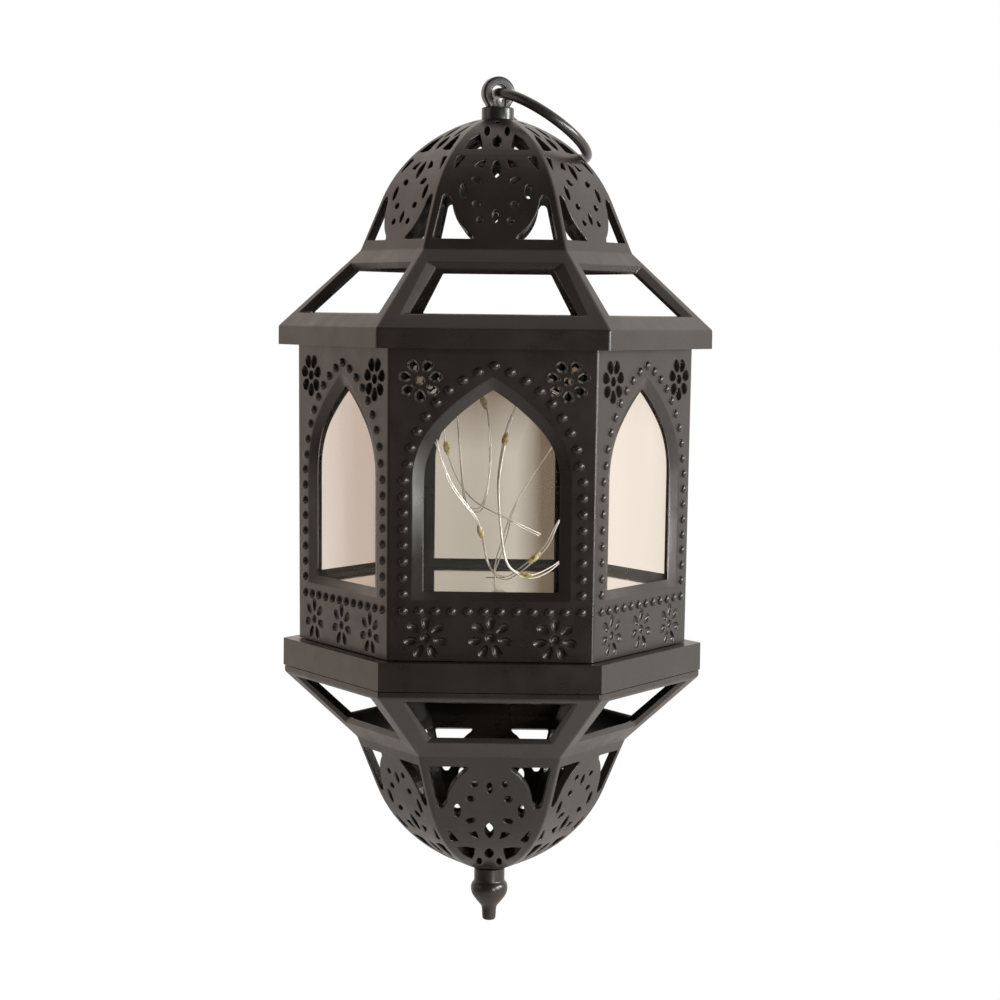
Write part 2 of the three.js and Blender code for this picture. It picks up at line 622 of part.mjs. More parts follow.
// Battery box: the cell bay opens downwards, the switch bay opens up against the deck
function batteryBox() {
  const half = CELL_BAY.length / 2;
  const back = CELL_BAY_BACK + BOX_WALL;
  let box = toSolid(block([-half - BOX_WALL, half + BOX_WALL], [BOX_FRONT, back], [BOX_BOTTOM, DECK_BOTTOM]));
  for (const [x, y] of SCREWS) {
    const inner = Math.sign(x) * half;
    const outer = Math.sign(x) * (half + BOX_WALL + EAR.reach);
    const ear = block([Math.min(inner, outer), Math.max(inner, outer)],
      [y - EAR.width / 2, y + EAR.width / 2], [DECK_BOTTOM - EAR.thick, DECK_BOTTOM]);
    box = box.add(toSolid(ear));
  }
  const bayTop = DECK_BOTTOM - BOX_WALL;
  const cellBay = block([-half, half], [CELL_BAY_FRONT, CELL_BAY_BACK], [BOX_BOTTOM - CUT, bayTop]);
  const switchBay = block([-half, half], [BOX_FRONT + BOX_WALL, BOX_FRONT + BOX_WALL + SWITCH_BAY_WIDTH],
    [BOX_BOTTOM + BOX_WALL, DECK_BOTTOM + CUT]);
  const slot = knobSlot(BOX_BOTTOM - CUT, BOX_BOTTOM + BOX_WALL + CUT);
  const notches = [-1, 1].map((side) => block(
    [side * HINGE_TAB.x - HINGE_TAB.length / 2 - GAP, side * HINGE_TAB.x + HINGE_TAB.length / 2 + GAP],
    [CELL_BAY_BACK - CUT, back + CUT], [BOX_BOTTOM - CUT, HINGE_Z + HINGE_TAB.radius + GAP],
  ));
  const earBottom = DECK_BOTTOM - EAR.thick - CUT;
  const holes = SCREWS.map(([x, y]) => rod(SCREW_R + GAP, earBottom, DECK_BOTTOM + CUT, x, y, 10));
  return toGeometry(cutAll(box, [cellBay, switchBay, slot, ...notches, ...holes]));
}

// Cover of the cell bay: two hinge pins at its back edge and a finger grip at its front
function batteryCover() {
  const half = CELL_BAY.length / 2 - GAP;
  const front = CELL_BAY_FRONT + GAP;
  // Far enough from the hinge to swing past the wall's lower edge
  const back = HINGE_Y - Math.hypot(BOX_WALL, COVER_THICK) / 2 - GAP;
  let cover = toSolid(block([-half, half], [front, back], [BOX_BOTTOM, BOX_BOTTOM + COVER_THICK]));
  for (const side of [-1, 1]) {
    const x = side * HINGE_TAB.x;
    const [low, high] = [x - HINGE_TAB.length / 2, x + HINGE_TAB.length / 2];
    const pin = new THREE.CylinderGeometry(HINGE_TAB.radius, HINGE_TAB.radius, HINGE_TAB.length, 10);
    cover = cover.add(toSolid(pin.rotateZ(Math.PI / 2).translate(x, HINGE_Y, HINGE_Z)));
    const tabHalf = HINGE_TAB.radius * 0.9;
    const tab = block([low, high], [back - 1, HINGE_Y], [HINGE_Z - tabHalf, HINGE_Z + tabHalf]);
    cover = cover.add(toSolid(tab));
  }
  const grip = block([-LATCH.length / 2, LATCH.length / 2], [front + 1, front + 1 + LATCH.thick],
    [BOX_BOTTOM - LATCH.reach, BOX_BOTTOM + 0.5]);
  return toGeometry(cover.add(toSolid(grip)));
}

const cellY = (index) => (CELL_BAY_FRONT + CELL_BAY_BACK) / 2 + (index - (CELLS - 1) / 2) * CELL_PITCH;

// One battery cell along X; every second one points its nub to -X
function cell(index) {
  const body = CELL_LENGTH - NUB.rise;
  const outline = [
    [0, -CELL_LENGTH / 2], [CELL_R, -CELL_LENGTH / 2], [CELL_R, -CELL_LENGTH / 2 + body],
    [NUB.radius, -CELL_LENGTH / 2 + body], [NUB.radius, CELL_LENGTH / 2], [0, CELL_LENGTH / 2],
  ];
  const turnAround = index % 2 ? -1 : 1;
  const geometry = turned(outline, 12).rotateY(turnAround * Math.PI / 2);
  return outward(geometry.translate(CELL_SHIFT * turnAround, cellY(index), CELL_Z));
}

// A contact plate at one end of the bay, with a spring for each cell that turns its flat end to it
function contact(side, cellsHere) {
  const wall = side * CELL_BAY.length / 2;
  const face = wall - side * CONTACT.thick;
  const low = cellY(cellsHere[0]) - CONTACT.half;
  const high = cellY(cellsHere.at(-1)) + CONTACT.half;
  const xs = [Math.min(wall, face), Math.max(wall, face)];
  let plate = toSolid(block(xs, [low, high], [CELL_Z - CONTACT.half, CELL_Z + CONTACT.half]));
  for (const index of cellsHere) {
    const nubHere = (index % 2 ? -1 : 1) === side;
    const length = nubHere ? CONTACT.bump : SPRING_LENGTH;
    const base = nubHere ? CONTACT.bumpBase : CONTACT.springBase;
    const tip = nubHere ? CONTACT.bumpTip : CONTACT.springTip;
    const bump = new THREE.CylinderGeometry(tip, base, length + 0.2, 10).rotateZ(side * Math.PI / 2);
    const middle = face - side * (length - 0.2) / 2;
    plate = plate.add(toSolid(bump.translate(middle, cellY(index), CELL_Z)));
  }
  return toGeometry(plate);
}

// The switch's body stands on the bottom wall of its bay
function switchBody() {
  const [l, w] = [SWITCH_BODY.length / 2, SWITCH_BODY.width / 2];
  const housing = block([-l, l], [SWITCH_Y - w, SWITCH_Y + w], [SWITCH_BOTTOM, SWITCH_TOP]);
  return toGeometry(cutAll(toSolid(housing), [knobSlot(SWITCH_BOTTOM - CUT, SWITCH_BOTTOM + KNOB.sunk)]));
}

function switchKnob() {
  const from = -KNOB_TRAVEL / 2 - KNOB.length / 2;
  return block([from, from + KNOB.length], [SWITCH_Y - KNOB.width / 2, SWITCH_Y + KNOB.width / 2],
    [BOX_BOTTOM - KNOB.rise, SWITCH_BOTTOM + KNOB.sunk - GAP]);
}

function circuitBoard() {
  const [l, w] = [BOARD.length / 2, BOARD.width / 2];
  return block([-l, l], [SWITCH_Y - w, SWITCH_Y + w], [SWITCH_TOP, SWITCH_TOP + BOARD.thick]);
}

// A round wire along a curve, closed at both ends
function wireAlong(curve, radius, steps, sides) {
  const section = new THREE.Shape();
  section.setFromPoints(ellipse(0, 0, radius, radius, 0, sides));
  return outward(new THREE.ExtrudeGeometry(section, { steps, extrudePath: curve }));
}

const smooth = (points) =>
  new THREE.CatmullRomCurve3(points.map((point) => new THREE.Vector3(...point)), false, 'catmullrom', 0.5);

// The hidden lead climbs from the board and runs in a groove under the deck to the slot
function hiddenLead() {
  const [x, up] = [SLOT.x, CELL_BAY_FRONT - BOX_WALL - 2.6];
  const run = DECK_BOTTOM + LEAD_DEPTH - WIRE_R - 0.2;
  const route = [
    [x, up, SWITCH_TOP + BOARD.thick + 0.2], [x, up, DECK_BOTTOM - 1],
    [x, up + 0.8, run - 0.3], [x, up + 2.4, run],
    [x, SLOT.y - 5, run], [x, SLOT.y - 2, run + 0.1], [x, LEAD_Y, run + 0.9], [x, LEAD_Y, FLOOR_TOP - GAP],
  ];
  return wireAlong(smooth(route), WIRE_R, 24, 6);
}

// The free string: out of the slot, then up and round inside the windows, as it lies in the lantern
const LIGHT_ROUTE = [
  [0.8, 11.8, -175.1], [0.8, 11.8, -171.5],
  [3.8, 8, -161.2], [7.4, 6, -149.2], [13.1, 4, -138.5], [21.1, 0, -125.9],
  [27, -7, -115.5], [22, -18, -106.3],
  [11.5, -25, -106], [5.7, -30, -116.1], [2.4, -36, -131.9], [2.2, -40, -144.5],
  [4.6, -42, -162.5], [9, -40, -168.2], [15.5, -34, -169.5], [24, -22, -165.5], [30, -14, -157],
  [30, -17, -149.5], [24.1, -21, -150.5], [18.6, -23, -160.5], [10, -24, -168.5], [4, -14, -172.5],
  [-1.5, -2, -169], [-5.6, -8, -153.1], [-15.1, -12, -139.2], [-20.6, -14, -123.9],
  [-24, -13, -110.5], [-19, -9, -105.6], [-13.7, -6, -114.4], [-12.1, -5, -129.2], [-10, 0, -146.5],
  [-4.5, 14, -149.5], [-1.6, 20, -135.1], [-3, 22, -114], [-9, 20, -104.8],
  [-17, 12, -109.5], [-17.5, 8, -127.3], [-9, 5, -144.5], [6, 4, -153.2], [17, 9, -159],
];

function lightString() {
  const curve = smooth(LIGHT_ROUTE);
  place('light_wire', wireAlong(curve, WIRE_R, WIRE_STEPS, 8), steel);
  const stations = curve.getSpacedPoints(WIRE_STEPS);
  const bore = WIRE_R + GAP;
  const half = LAMP_LENGTH / 2;
  const outline = [
    [bore, -half], [LAMP_R * 0.75, -half], [LAMP_R, -half * 0.4],
    [LAMP_R, half * 0.4], [LAMP_R * 0.75, half], [bore, half],
  ];
  LAMP_STEPS.forEach((step, index) => {
    const [from, to] = [stations[step], stations[step + 1]];
    const along = to.clone().sub(from).normalize();
    const bead = place(`lamp_${index + 1}`, outward(turned(outline, 8)), resin);
    bead.position.copy(from.clone().lerp(to, 0.5));
    bead.quaternion.setFromUnitVectors(new THREE.Vector3(0, 0, 1), along);
  });
}

place('roof', roof(), blackPlastic);
place('hanging_eye', eye(), blackMetal);
place('eye_washer', washer(STUD_R + GAP, WASHER_R, DOME_TOP - WALL - GAP, WASHER_THICK, 16), steel);
place('eye_nut', washer(STUD_R + GAP, NUT_R, DOME_TOP - WALL - 2 * GAP - WASHER_THICK, NUT_THICK, 6), steel);
place('hanging_ring', hangingRing(), blackMetal);
place('body_shell', bodyShell(), blackPlastic);
for (let side = 0; side < SIDES; side++) {
  place(`window_pane_${side + 1}`, windowPane(), clearFilm).rotation.z = side * Math.PI / 3;
}
place('base_tray', baseTray(), blackPlastic);
place('mirror_floor', mirrorFloor(), mirrorFilm);
place('lower_bowl', lowerBowl(), blackPlastic);
place('finial', finial(), blackPlastic);
place('finial_screw', screw(0, 0, BOWL_END + WALL + GAP, WALL + GAP + FINIAL_SCREW_BITE, -1), steel);
place('battery_box', batteryBox(), greyPlastic);
place('battery_cover', batteryCover(), greyPlastic);
SCREWS.forEach(([x, y], index) => {
  place(`box_screw_${index + 1}`, screw(x, y, DECK_BOTTOM - EAR.thick, EAR.thick + SCREW_BITE, 1), steel);
});
for (let index = 0; index < CELLS; index++) place(`battery_${index + 1}`, cell(index), cellJacket);
place('contact_1', contact(-1, [0]), steel);
place('contact_2', contact(-1, [1, 2]), steel);
place('contact_3', contact(1, [0, 1]), steel);
place('contact_4', contact(1, [2]), steel);
place('circuit_board', circuitBoard(), boardGreen);
place('slide_switch', switchBody(), blackMetal);
place('switch_knob', switchKnob(), blackPlastic);
place('lamp_lead', hiddenLead(), steel);
lightString();

export default lantern;
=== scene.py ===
"""Visual model of a hexagonal hanging lantern with a string of small lights inside.

Shapes are written in millimetres in the lantern's own frame: the origin is the hole of the
hanging eye, Z points up and the front side faces -Y. MM turns them into Blender's metres.
"""

from math import acos, copysign, cos, pi, radians, sin, sqrt, tau, tan

import bmesh
import bpy
from mathutils import Matrix, Vector
from mathutils.geometry import delaunay_2d_cdt


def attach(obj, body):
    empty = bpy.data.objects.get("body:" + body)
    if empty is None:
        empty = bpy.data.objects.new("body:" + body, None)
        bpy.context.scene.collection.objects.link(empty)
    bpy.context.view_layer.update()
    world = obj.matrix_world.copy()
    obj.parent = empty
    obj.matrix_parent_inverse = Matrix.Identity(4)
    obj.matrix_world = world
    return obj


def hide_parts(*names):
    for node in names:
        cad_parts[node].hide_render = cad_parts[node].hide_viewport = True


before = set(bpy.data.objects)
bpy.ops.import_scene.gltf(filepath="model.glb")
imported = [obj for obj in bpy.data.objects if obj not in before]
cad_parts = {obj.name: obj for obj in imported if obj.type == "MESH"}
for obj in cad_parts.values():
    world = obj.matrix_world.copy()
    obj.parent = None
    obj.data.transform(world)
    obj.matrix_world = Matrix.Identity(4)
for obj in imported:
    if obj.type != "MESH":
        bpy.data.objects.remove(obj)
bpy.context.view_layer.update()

MM = 0.001
SIDES = 6
COS30 = cos(pi / 6)
TAN30 = tan(pi / 6)

# Heights of the lantern's edges, and the radii of its corners there
COLLAR_TOP = -5.0
DOME_TOP = -9.3
KNEE_TOP, KNEE_R = -56.5, 48.9
EAVE_TOP, EAVE_BOTTOM, EAVE_R = -83.65, -90.3, 78.2
BODY_TOP, BODY_TOP_R = -86.85, 70.93
BODY_BOTTOM, BODY_BOTTOM_R = -196.3, 69.95
BOWL_TOP, BOWL_RIM_BOTTOM, BOWL_RIM_R = -206.7, -208.7, 75.3
KNEE_BOTTOM = -232.4
WALL = 2.8
STUD_HOLE_R = 2.7

# Roundings: at the holes' edges, along the folds, and at the six corners
EDGE, EDGE_STEPS = 0.35, 3
FOLD = 0.6
CORNER, CORNER_STEPS = 0.75, 4

# Points closer than this become one: in a piece, and where the six sides meet
WELD, SIDE_WELD = 0.002, 0.004

# Runs of a wall's profile that are longer than this are flat, shorter ones belong to a curve
LONG_RUN = 4.0

# The vault above the knee, which the bowl repeats upside down: a straight foot, then a curve
VAULT_CURVE = [(41.5, 18.0), (31.9, 41.3), (8.0, 47.2), (6.0, 47.2)]
VAULT_STEPS = 22

# The oval medallion on each side of the vault: height of its middle over the knee, and its half sizes
MEDALLION_MIDDLE, MEDALLION_WIDE, MEDALLION_HIGH = 18.8, 15.2, 16.2

# Windows in the slopes: top, bottom and the half widths there. Their bevels: at the top, foot and sides
ROOF_WINDOW, ROOF_BEVEL = (-61.0, -79.0, 23.3, 31.6), (0.9, 1.6, 3.0)
BOWL_WINDOW, BOWL_BEVEL = (-209.7, -226.6, 30.0, 21.9), (1.6, 1.0, 1.5)

# How deep the bevels go, and how far the bowl's windows widen again towards the back
ROOF_DEPTH, BOWL_DEPTH, BOWL_BACK = 2.0, 1.2, 1.7

# The roof's shelf and the bowl's collar inside: outer and inner corner radius, top, bottom
ROOF_BAND = (76.2, BODY_TOP_R - 4.5, BODY_TOP + 2.9, BODY_TOP + 0.3)
BOWL_BAND = (72.6, 70.8, -201.9, -207.8)

# Arched windows in the walls: two arcs on each side, the bevel, and the widening towards the back
ARCH_HALF, ARCH_SPRING, ARCH_SILL = 23.0, -135.0, -172.7
ARCH_R1, ARCH_R2, ARCH_TURN = 26.0, 72.0, radians(42.3)
ARCH_BEVEL, SILL_BEVEL = 4.0, 3.0
ARCH_DEPTH, ARCH_BACK = 1.5, 1.7

# Ornament of the walls: pierced and hollowed flowers, and the rows of small round beads.
# A petal has its nearest and farthest place from the flower's middle, and its half width.
PIERCED_FLOWERS = [(-24.7, -101.1), (25.3, -101.1)]
HOLLOW_FLOWERS = [(-22.0, -188.4), (0.0, -188.2), (22.0, -188.6)]
PIERCED_PETAL, PIERCED_HUB = (2.8, 7.6, 1.95), 1.7
HOLLOW_PETAL, HOLLOW_HUB = (2.8, 7.5, 1.4), 1.5
PETALS, PETAL_STEPS, PETAL_BLUNT = 7, 16, 0.25
BEAD_R, BEAD_RISE, BEADS_SHIFT = 1.6, 1.15, 0.45
BEADS_LOW = [(-30.3 + 60.6 * i / 11, -179.4) for i in range(12)]
BEADS_SIDE = [(30.4, -173.6 + 38.6 * i / 7) for i in range(8)]
BEADS_ARCH = [
    (5.4, -98.1), (10.6, -101.0), (15.4, -104.4), (19.5, -108.6),
    (23.0, -113.3), (25.9, -118.4), (28.1, -124.0), (29.0, -129.6),
]
BEAD_TOP = (0.0, -96.0)

# Profiles of that ornament: share of the outline, and depth below the wall's outer face
FUNNEL = [(1.06, 0.0), (1.03, -0.14), (1.0, -0.16), (0.96, -0.04), (0.92, 0.35), (0.72, 1.9), (0.6, WALL)]
DISH = [(1.1, 0.0), (1.02, 0.08), (0.94, 0.3), (0.8, 0.62), (0.55, 0.85), (0.25, 0.93), (0.0, 0.95)]

# Hanging eye and ring. The eye's loops go on below the middle by an angle, then down to the collar
EYE_R, EYE_HOLE_R, EYE_THICK = 5.97, 2.9, 4.0
EYE_TURN, EYE_ROUNDING, HOLE_ROUNDING = radians(20), 0.8, 0.5
EYE_FOOT, HOLE_FOOT = 3.6, 1.9
EYE_LEAVE, HOLE_LEAVE = radians(39), radians(49)
COLLAR_R = 5.8
COLLAR_PROFILE = [
    (0, COLLAR_TOP), (COLLAR_R - 0.7, COLLAR_TOP), (COLLAR_R - 0.2, COLLAR_TOP - 0.2),
    (COLLAR_R, COLLAR_TOP - 0.7), (COLLAR_R, DOME_TOP + 0.02), (2, DOME_TOP + 0.02),
    (2, -18.9), (1.6, -19.3), (0, -19.3),
]
RING_R, RING_WIRE_R, RING_DROP = 19.8, 1.85, radians(34.4)
RING_STEPS, RING_SIDES = 96, 24

# The finial: its stem with the bore, and the points through which its curved outside runs
FINIAL_STEM = [(0, -287.1), (1.4, -287.1), (1.4, -279.9), (5.2, -279.9), (5.55, -280.25)]
FINIAL_CURVE = [
    (5.55, -284.2), (5.68, -284.9), (6.35, -285.8), (6.7, -287.1), (6.6, -288.6), (5.9, -290.3),
    (4.5, -292.2), (3.2, -293.7), (2.7, -294.7), (2.55, -296.4), (2.42, -298.3), (2.1, -299.1),
    (1.2, -299.45),
]
FINIAL_FOOT, FINIAL_STEPS = -299.5, 48

# The string: its size and its two strands. One part of it, by shares of its length, is thick and close
STRAND_R, THICK_STRAND_R, STRAND_SIDES, STRAND_STEPS = 0.22, 0.38, 8, 420
THICK_PART, THICK_SPREAD = (0.2, 0.31), 0.3

# The route of the string, from the floor's slot to its free end, and the steps at which the lamps sit
LIGHT_ROUTE = [
    (0.8, 11.8, -175.1), (0.8, 11.8, -171.5), (3.8, 8, -161.2), (7.4, 6, -149.2),
    (13.1, 4, -138.5), (21.1, 0, -125.9), (27, -7, -115.5), (22, -18, -106.3),
    (11.5, -25, -106), (5.7, -30, -116.1), (2.4, -36, -131.9), (2.2, -40, -144.5),
    (4.6, -42, -162.5), (9, -40, -168.2), (15.5, -34, -169.5), (24, -22, -165.5),
    (30, -14, -157), (30, -17, -149.5), (24.1, -21, -150.5), (18.6, -23, -160.5),
    (10, -24, -168.5), (4, -14, -172.5), (-1.5, -2, -169), (-5.6, -8, -153.1),
    (-15.1, -12, -139.2), (-20.6, -14, -123.9), (-24, -13, -110.5), (-19, -9, -105.6),
    (-13.7, -6, -114.4), (-12.1, -5, -129.2), (-10, 0, -146.5), (-4.5, 14, -149.5),
    (-1.6, 20, -135.1), (-3, 22, -114), (-9, 20, -104.8), (-17, 12, -109.5),
    (-17.5, 8, -127.3), (-9, 5, -144.5), (6, 4, -153.2), (17, 9, -159),
]
WIRE_STEPS = 80
LAMP_STEPS = [11, 17, 25, 30, 35, 42, 49, 66, 72]
LAMP_R, LAMP_LENGTH = 1.2, 6.2
CHIP_SIZE = (0.7, 0.9, 1.3)

# Looks that vary with noise: its lumps per metre, detail and stretch. tone and shades make the colour,
# rough ends with the lowest and highest roughness, bumps and cells with their height in millimetres.
GRAINED = dict(tone=(60, 4), cells=(2200, 0.015), IOR=1.5)
LOOKS = {
    "black plastic": dict(
        tone=(38, 4, (1, 1, 0.35)), shades=[(27, 22, 19), (33, 27, 23), (40, 33, 28)],
        rough=(120, 4, 0.25, 0.36), bumps=[(2600, 2, 0.012), (150, 2, 0.03)], IOR=1.5,
    ),
    "black enamel": dict(
        tone=(300, 3), shades=[(30, 27, 25), (42, 39, 35)], rough=(500, 3, 0.26, 0.38),
        bumps=[(900, 3, 0.02)], Metallic=0.2, IOR=1.5, Coat_Weight=0.4, Coat_Roughness=0.24,
    ),
    "clear film": dict(
        tone=(25, 2), shades=[(0.2, 0.19, 0.17), (0.26, 0.25, 0.23)], rough=(60, 3, 0.05, 0.12),
        Alpha=0.07, IOR=1.45,
    ),
    "mirror film": dict(
        tone=(60, 4), shades=[(0.85, 0.82, 0.76), (0.93, 0.90, 0.85)], rough=(180, 5, 0.03, 0.09),
        bumps=[(28, 2, 0.012)], Metallic=1.0,
    ),
    # The wire is pale silver; its bright and darker bands along the strands are painted highlights and shade
    "silvery wire": dict(
        tone=(48, 2), shades=[(190, 183, 168), (242, 234, 218), (252, 244, 230)], ends=(0.36, 0.56),
        rough=(900, 2, 0.25, 0.4), Metallic=0.4, Coat_Weight=0.8, Coat_Roughness=0.12,
    ),
    # The golden tone is the resin's own; its near-white flecks are painted glints
    "lamp resin": dict(
        tone=(850, 2), shades=[(178, 122, 52), (244, 222, 100), (255, 252, 222)], ends=(0.36, 0.6),
        bumps=[(900, 2, 0.16)], Transmission_Weight=0.4, IOR=1.45, Roughness=0.1,
    ),
    "lamp chip": dict(
        tone=(2500, 1), shades=[(150, 66, 44), (196, 132, 60)], rough=(2500, 1, 0.3, 0.5), IOR=1.5,
    ),
    "zinc steel": dict(
        tone=(500, 4), shades=[(160, 158, 150), (196, 194, 188)], rough=(900, 3, 0.22, 0.4),
        bumps=[(1800, 2, 0.006)], Metallic=1.0,
    ),
    "grey plastic": dict(GRAINED, shades=[(126, 124, 120), (148, 146, 141)], rough=(200, 3, 0.45, 0.6)),
    "switch plastic": dict(GRAINED, shades=[(30, 30, 31), (42, 42, 43)], rough=(200, 3, 0.35, 0.5)),
    "cell jacket": dict(
        tone=(40, 2, (0.2, 1, 1)), shades=[(58, 74, 86), (82, 98, 110)], rough=(300, 3, 0.25, 0.4),
        Metallic=0.3, IOR=1.5, Coat_Weight=0.4, Coat_Roughness=0.12,
    ),
    "circuit green": dict(
        tone=(220, 2, (1, 0.3, 1)), shades=[(34, 80, 50), (52, 104, 66)], rough=(500, 3, 0.3, 0.45),
        bumps=[(300, 1, 0.02)], IOR=1.5, Coat_Weight=0.5, Coat_Roughness=0.2,
    ),
}

# Films of three windows: name, tint, dim tint of painted shade, and where it deepens to the right and
# upwards, in metres
# The tints paint the light and shade seen through each window; all three are the same clear film
FILMS = {
    3: ("film right", (0.97, 0.935, 0.88), (0.84, 0.80, 0.73), (0.058, 0.07), (-0.12, -0.1)),
    4: ("film back", (0.61, 0.60, 0.545), (0.19, 0.145, 0.105), (0.008, 0.019), (-0.132, -0.104)),
    5: ("film left", (0.98, 0.96, 0.93), (0.55, 0.47, 0.42), (-0.064, -0.043), (-0.09, -0.08)),
}

# The camera, fitted to the photograph
LENS_MM, SENSOR_MM = 93.6, 36.0
CAMERA_PLACE = Vector((8.38, -937.07, -77.34))
CAMERA_AIM = Vector((-0.00642, 0.99733, -0.07271))
CAMERA_ROLL = radians(0.65)

# The direction from which the room lights the object most, its strength at the dim and the bright end,
# and the colours from its left to its right
ROOM_BRIGHT, ROOM_STRENGTH = (0.35, 0.93, -0.08), (0.1, 1.0)
ROOM_COLORS = [(1, 0.83, 0.72), (1, 0.95, 0.89), (1, 1, 1)]

# The floor, in metres: its radius and height, and where it fades to white
FLOOR_R, FLOOR_HEIGHT, FLOOR_FADE = 0.95, -0.6, (0.35, 0.92)

# Square lamps: the height that they look at, and their name, azimuth and elevation in degrees,
# distance, size and power. Azimuth 0 is the front and 90 the right.
LAMPS_AIM = -0.15
SQUARE_LAMPS = [
    ("right key", 56, 8, 1.3, 0.32, 11),
    ("left fill", -75, 12, 1.4, 0.8, 1.5),
    ("front glint", 31, -4, 1.6, 0.06, 6.5),
    ("right glint", 80, 14, 1.2, 0.3, 9),
]


# Camera

def add_to_scene(item):
    bpy.context.scene.collection.objects.link(item)


def add_camera():
    data = bpy.data.cameras.new("camera")
    data.lens = LENS_MM
    data.sensor_width = SENSOR_MM
    camera = bpy.data.objects.new("camera", data)
    aim = CAMERA_AIM.normalized()
    right = aim.cross(Vector((0, 0, 1))).normalized()
    up = right.cross(aim)
    cosine, sine = cos(CAMERA_ROLL), sin(CAMERA_ROLL)
    turned_right = right * cosine + up * sine
    turned_up = up * cosine - right * sine
    axes = Matrix((turned_right, turned_up, -aim)).transposed()
    camera.matrix_world = Matrix.Translation(CAMERA_PLACE * MM) @ axes.to_4x4()
    add_to_scene(camera)
    bpy.context.scene.camera = camera


# Materials

def set_sockets(node, values):
    for socket, value in values.items():
        node.inputs[socket.replace("_", " ")].default_value = value


class Tree:
    """A tree of nodes, and the ways in which values are put together in it."""

    def __init__(self, tree):
        self.tree = tree
        self.nodes = tree.nodes

    def link(self, output, target):
        self.tree.links.new(output, target)

    def node(self, kind, **values):
        """A new node with these values on its sockets."""
        node = self.nodes.new(kind)
        set_sockets(node, values)
        return node

    def split(self, vector):
        """The X, Y and Z of a vector."""
        node = self.node("ShaderNodeSeparateXYZ")
        self.link(vector, node.inputs["Vector"])
        return node.outputs

    def combine(self, operation, *values, kind="ShaderNodeMath"):
        """What an operation makes of its values."""
        node = self.node(kind)
        node.operation = operation
        for value, socket in zip(values, node.inputs):
            self.link(value, socket)
        return node.outputs["Value"]

    def spread(self, value, low, high, start=0.3, end=0.7):
        """The value mapped from start..end to low..high."""
        node = self.node("ShaderNodeMapRange", From_Min=start, From_Max=end, To_Min=low, To_Max=high)
        self.link(value, node.inputs["Value"])
        return node.outputs["Result"]

    def blend(self, value, colors, start=0.3, end=0.7):
        """A colour ramp over the value."""
        ramp = self.node("ShaderNodeValToRGB")
        elements = ramp.color_ramp.elements
        elements[0].position, elements[1].position = start, end
        for i in range(1, len(colors) - 1):
            elements.new(start + (end - start) * i / (len(colors) - 1))
        for element, color in zip(elements, colors):
            element.color = (*color, 1)
        self.link(value, ramp.inputs["Fac"])
        return ramp.outputs["Color"]

    def seen_by_camera(self):
        """1 where the camera looks, 0 for light on its way."""
        return self.node("ShaderNodeLightPath").outputs["Is Camera Ray"]


class Look(Tree):
    """A procedural material: values go straight to the shader's sockets, nodes add variation."""

    def __init__(self, name, **values):
        self.material = bpy.data.materials.new(name)
        self.material.use_nodes = True
        super().__init__(self.material.node_tree)
        self.shader = self.nodes["Principled BSDF"]
        set_sockets(self.shader, values)
        self.place = self.node("ShaderNodeTexCoord").outputs["Object"]

    def noise(self, scale, detail, stretch=(1, 1, 1)):
        """Noise with scale given in lumps per metre."""
        mapping = self.node("ShaderNodeMapping", Scale=stretch)
        self.link(self.place, mapping.inputs["Vector"])
        noise = self.node("ShaderNodeTexNoise", Scale=scale, Detail=detail)
        self.link(mapping.outputs["Vector"], noise.inputs["Vector"])
        return noise.outputs["Fac"]

    def cells(self, scale):
        cells = self.node("ShaderNodeTexVoronoi", Scale=scale)
        self.link(self.place, cells.inputs["Vector"])
        return cells.outputs["Distance"]

    def across(self, axis, high, start, end):
        """0 to the high value along an axis of the lantern, between two places in metres."""
        place = self.node("ShaderNodeNewGeometry").outputs["Position"]
        return self.spread(self.split(place)[axis], 0.0, high, start, end)

    def feed(self, socket, output):
        """Let a value drive a socket of the shader."""
        self.link(output, self.shader.inputs[socket])

    def bump(self, value, height_mm):
        """Bumps of this height. Repeated calls add up."""
        node = self.node("ShaderNodeBump", Distance=height_mm * MM)
        self.link(value, node.inputs["Height"])
        socket = self.shader.inputs["Normal"]
        if socket.is_linked:
            self.link(socket.links[0].from_socket, node.inputs["Normal"])
        self.link(node.outputs["Normal"], socket)


def linear(color):
    """The colour that the shaders take. One with values over 1 is sRGB from 0 to 255."""
    if max(color) <= 1:
        return color
    shares = [value / 255 for value in color]
    return [s / 12.92 if s <= 0.04 else ((s + 0.055) / 1.055) ** 2.4 for s in shares]


def varied(name, tone, shades, ends=(0.3, 0.7), rough=(), bumps=(), cells=(), **values):
    """A look that varies with noise, as a row of the table says."""
    look = Look(name, **values)
    look.feed("Base Color", look.blend(look.noise(*tone), [linear(shade) for shade in shades], *ends))
    if rough:
        scale, detail, low, high = rough
        look.feed("Roughness", look.spread(look.noise(scale, detail), low, high))
    for scale, detail, height_mm in bumps:
        look.bump(look.noise(scale, detail), height_mm)
    if cells:
        look.bump(look.cells(cells[0]), cells[1])
    return look.material


def look_of(name):
    return varied(name, **LOOKS[name])


def film_with_painted_shade(name, tint, dim, right, top):
    """Thin film whose tint deepens to the dim one, painted shade, between two places to the right and two
    upwards.
    """
    look = Look(name, Transmission_Weight=1.0, IOR=1.04, Roughness=0.02)
    # Painted shade: darker to the right and upwards, and deepened further by noise streaks stretched along
    # the height
    shade = look.combine("MAXIMUM", look.across("X", 1.0, *right), look.across("Z", 0.85, *top))
    streaks = look.spread(look.noise(45, 2, (1, 1, 0.15)), 0.0, 0.3)
    look.feed("Base Color", look.blend(look.combine("ADD", shade, streaks), [tint, dim], 0.0, 1.0))
    look.bump(look.noise(35, 1), 0.03)
    return look.material


# Making objects

